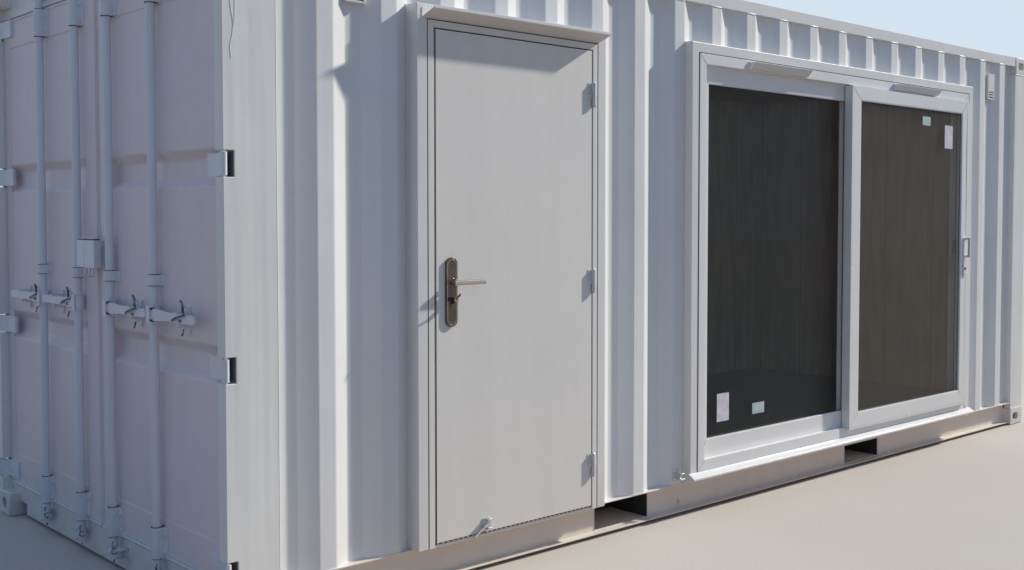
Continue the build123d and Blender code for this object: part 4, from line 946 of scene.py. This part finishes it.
# Black bushes line the ends of every guide. Dark curls beside each bar's foot,
# round the cams and their keepers, are painted shadow; they are fixed to the cabin,
# and stay in place when a door opens.
def collar(shape, along, depth, foot, head, inner, outer):
    """Adds a round collar about an upright line."""
    corners = [bmesh.ops.create_vert(shape, co=at(along + radius, depth, up))["vert"][0]
               for radius, up in ((inner, foot), (outer, foot), (outer, head), (inner, head))]
    edges = [shape.edges.new((corners[n], corners[(n + 1) % 4])) for n in range(4)]
    bmesh.ops.spin(shape, geom=corners + edges, cent=at(along, depth, foot), axis=(0, 0, 1),
                   angle=2 * math.pi, steps=24, use_merge=True)


guide_ends = ((152.4, 155), (275, 277.6), (1207.6, 1210), (1250, 1252.4), (2282.4, 2285),
              (2405, 2407.6))
for side, over in sides:
    bushes = bmesh.new()
    for line in bar_lines.values():
        for foot, head in guide_ends:
            collar(bushes, 22, over(line), foot, head, 17.4, 21.5)
    piece_called(side + "_guide_bushes", bushes, rubber, side + "_door")
for side, over in sides:
    shadow_curls = bmesh.new()
    for line in bar_lines.values():
        middle = over(line) - 52
        bead_along(shadow_curls, [(6, middle + 20, 138), (-3, middle + 12, 134), (-6, middle - 2, 124),
                           (-2, middle - 14, 118), (6, middle - 16, 122)], 3.4, order=3)
        bead_along(shadow_curls, [(6, middle + 24, 112), (-4, middle + 14, 104), (-6, middle, 100),
                           (-2, middle - 16, 96), (6, middle - 20, 102)], 3.4, order=3)
        rod(shadow_curls, (6, middle + 4, 66), (1, middle + 4, 66), 7.0, 14, 5.0)
    piece_called("cam_shadow_curls_" + side, shadow_curls, worn_steel, "cabin")

# The padlock box covers the meeting line. It has a slit along the top for rain to
# leave, darkened by a strip of painted shade inside it, a round lock in its side, and
# two lugs below for the padlock.
for side, rider, front, neck in (("right", "right_door", (1116, 1218.2), (1152, 1212)),
                                 ("left", "left_door", (1220.2, 1304), (1226, 1298))):
    shell = bmesh.new()
    slab(shell, (-14, 15), front, (1258, 1373))
    slab(shell, (-12, 14), (front[0] + 2, front[1] - 0.5), (1378.5, 1381.5))
    slab(shell, (13, 48.4), neck, (1262, 1370))
    rounded(shell, shell.edges[:], 1.4)
    box = piece_called(side + "_lock_box_made", shell, sky_tinted_gear_paint, rider)
    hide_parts(side + "_lock_box")
    slit_shade = bmesh.new()
    slab(slit_shade, (-10, 12), (front[0] + 6, front[1] - 2), (1372.5, 1379))
    piece_called(side + "_lock_box_slit_shade", slit_shade, rubber, rider)
lugs = bmesh.new()
rod(lugs, (1, 1116.5, 1316), (1, 1111.5, 1316), 9.0, 24, 8.2)
rod(lugs, (1, 1111.5, 1316), (1, 1109.5, 1316), 5.0, 16)
slab(lugs, (-3, 4), (1113.5, 1117), (1330, 1346))
for depth in (1160, 1194):
    slab(lugs, (-3, 3), (depth, depth + 11), (1234, 1260))
    bead_along(lugs, [(0, depth + 5, 1236), (-7, depth + 5, 1229), (-4, depth + 5, 1219),
                      (6, depth + 5, 1224)], 3.2, order=3)
piece_called("lock_box_lugs_right", lugs, sky_tinted_gear_paint, "right_door")
lugs = bmesh.new()
slab(lugs, (-3, 3), (1240, 1252), (1232, 1260))
bead_along(lugs, [(0, 1246, 1236), (-8, 1246, 1228), (-6, 1246, 1214), (5, 1246, 1215)], 3.2,
           order=3)
piece_called("lock_box_lug_left", lugs, sky_tinted_gear_paint, "left_door")

# A rub along the near door has pushed up a thin ridge of its paint, which shows
# as a pale scratch below the handles.
scratch = bmesh.new()
bead_along(scratch, [(50.9, 445, 698), (50.7, 400, 701), (50.7, 350, 699), (50.7, 300, 698),
                     (50.9, 232, 697)], 0.9, order=3)
piece_called("door_scratch", scratch, gasket_paint, "right_door")

# The cam keepers are bolted and welded to the sill and to the header, with thick
# paint in their corners.
keeper_work = bmesh.new()
for over in (from_front, from_back):
    for line in bar_lines.values():
        for middle, face in ((88, 53), (2482, 50)):
            for way in (-24, 24):
                bead_along(keeper_work, [(face - 1, over(line - 77), middle + way),
                                         (face - 1, over(line - 27), middle + way)], 3.0)
            for depth in (line - 67, line - 37):
                bolt(keeper_work, (face - 8, over(depth), middle), (-1, 0, 0), 8)
piece_called("keeper_welds", keeper_work, sky_tinted_gear_paint, "cabin")

# Two small ventilators hang near the ends of the front wall: a moulded hood with
# louvres over an insect screen, screwed at its corners.
softened("wall_ventilators", paint, (40, 100, 1.6, 2))
louvre_foot, louvre_pitch, louvre_height = 2283, 17, 8
vent_work = bmesh.new()
screens = bmesh.new()
for middle in (542, 5546):
    for along in (middle - 36, middle + 36):
        for up in (2285, 2434):
            rod(vent_work, (along, 14, up), (along, 12.4, up), 4.2, 14, 3.2)
    for step in range(3):
        foot = louvre_foot + louvre_pitch * step
        slab(screens, (middle - 33.5, middle + 33.5), (22.6, 23.8), (foot, foot + louvre_height))
piece_called("ventilator_screws", vent_work, zinc, "cabin")
piece_called("ventilator_screens", screens, rubber, "cabin")
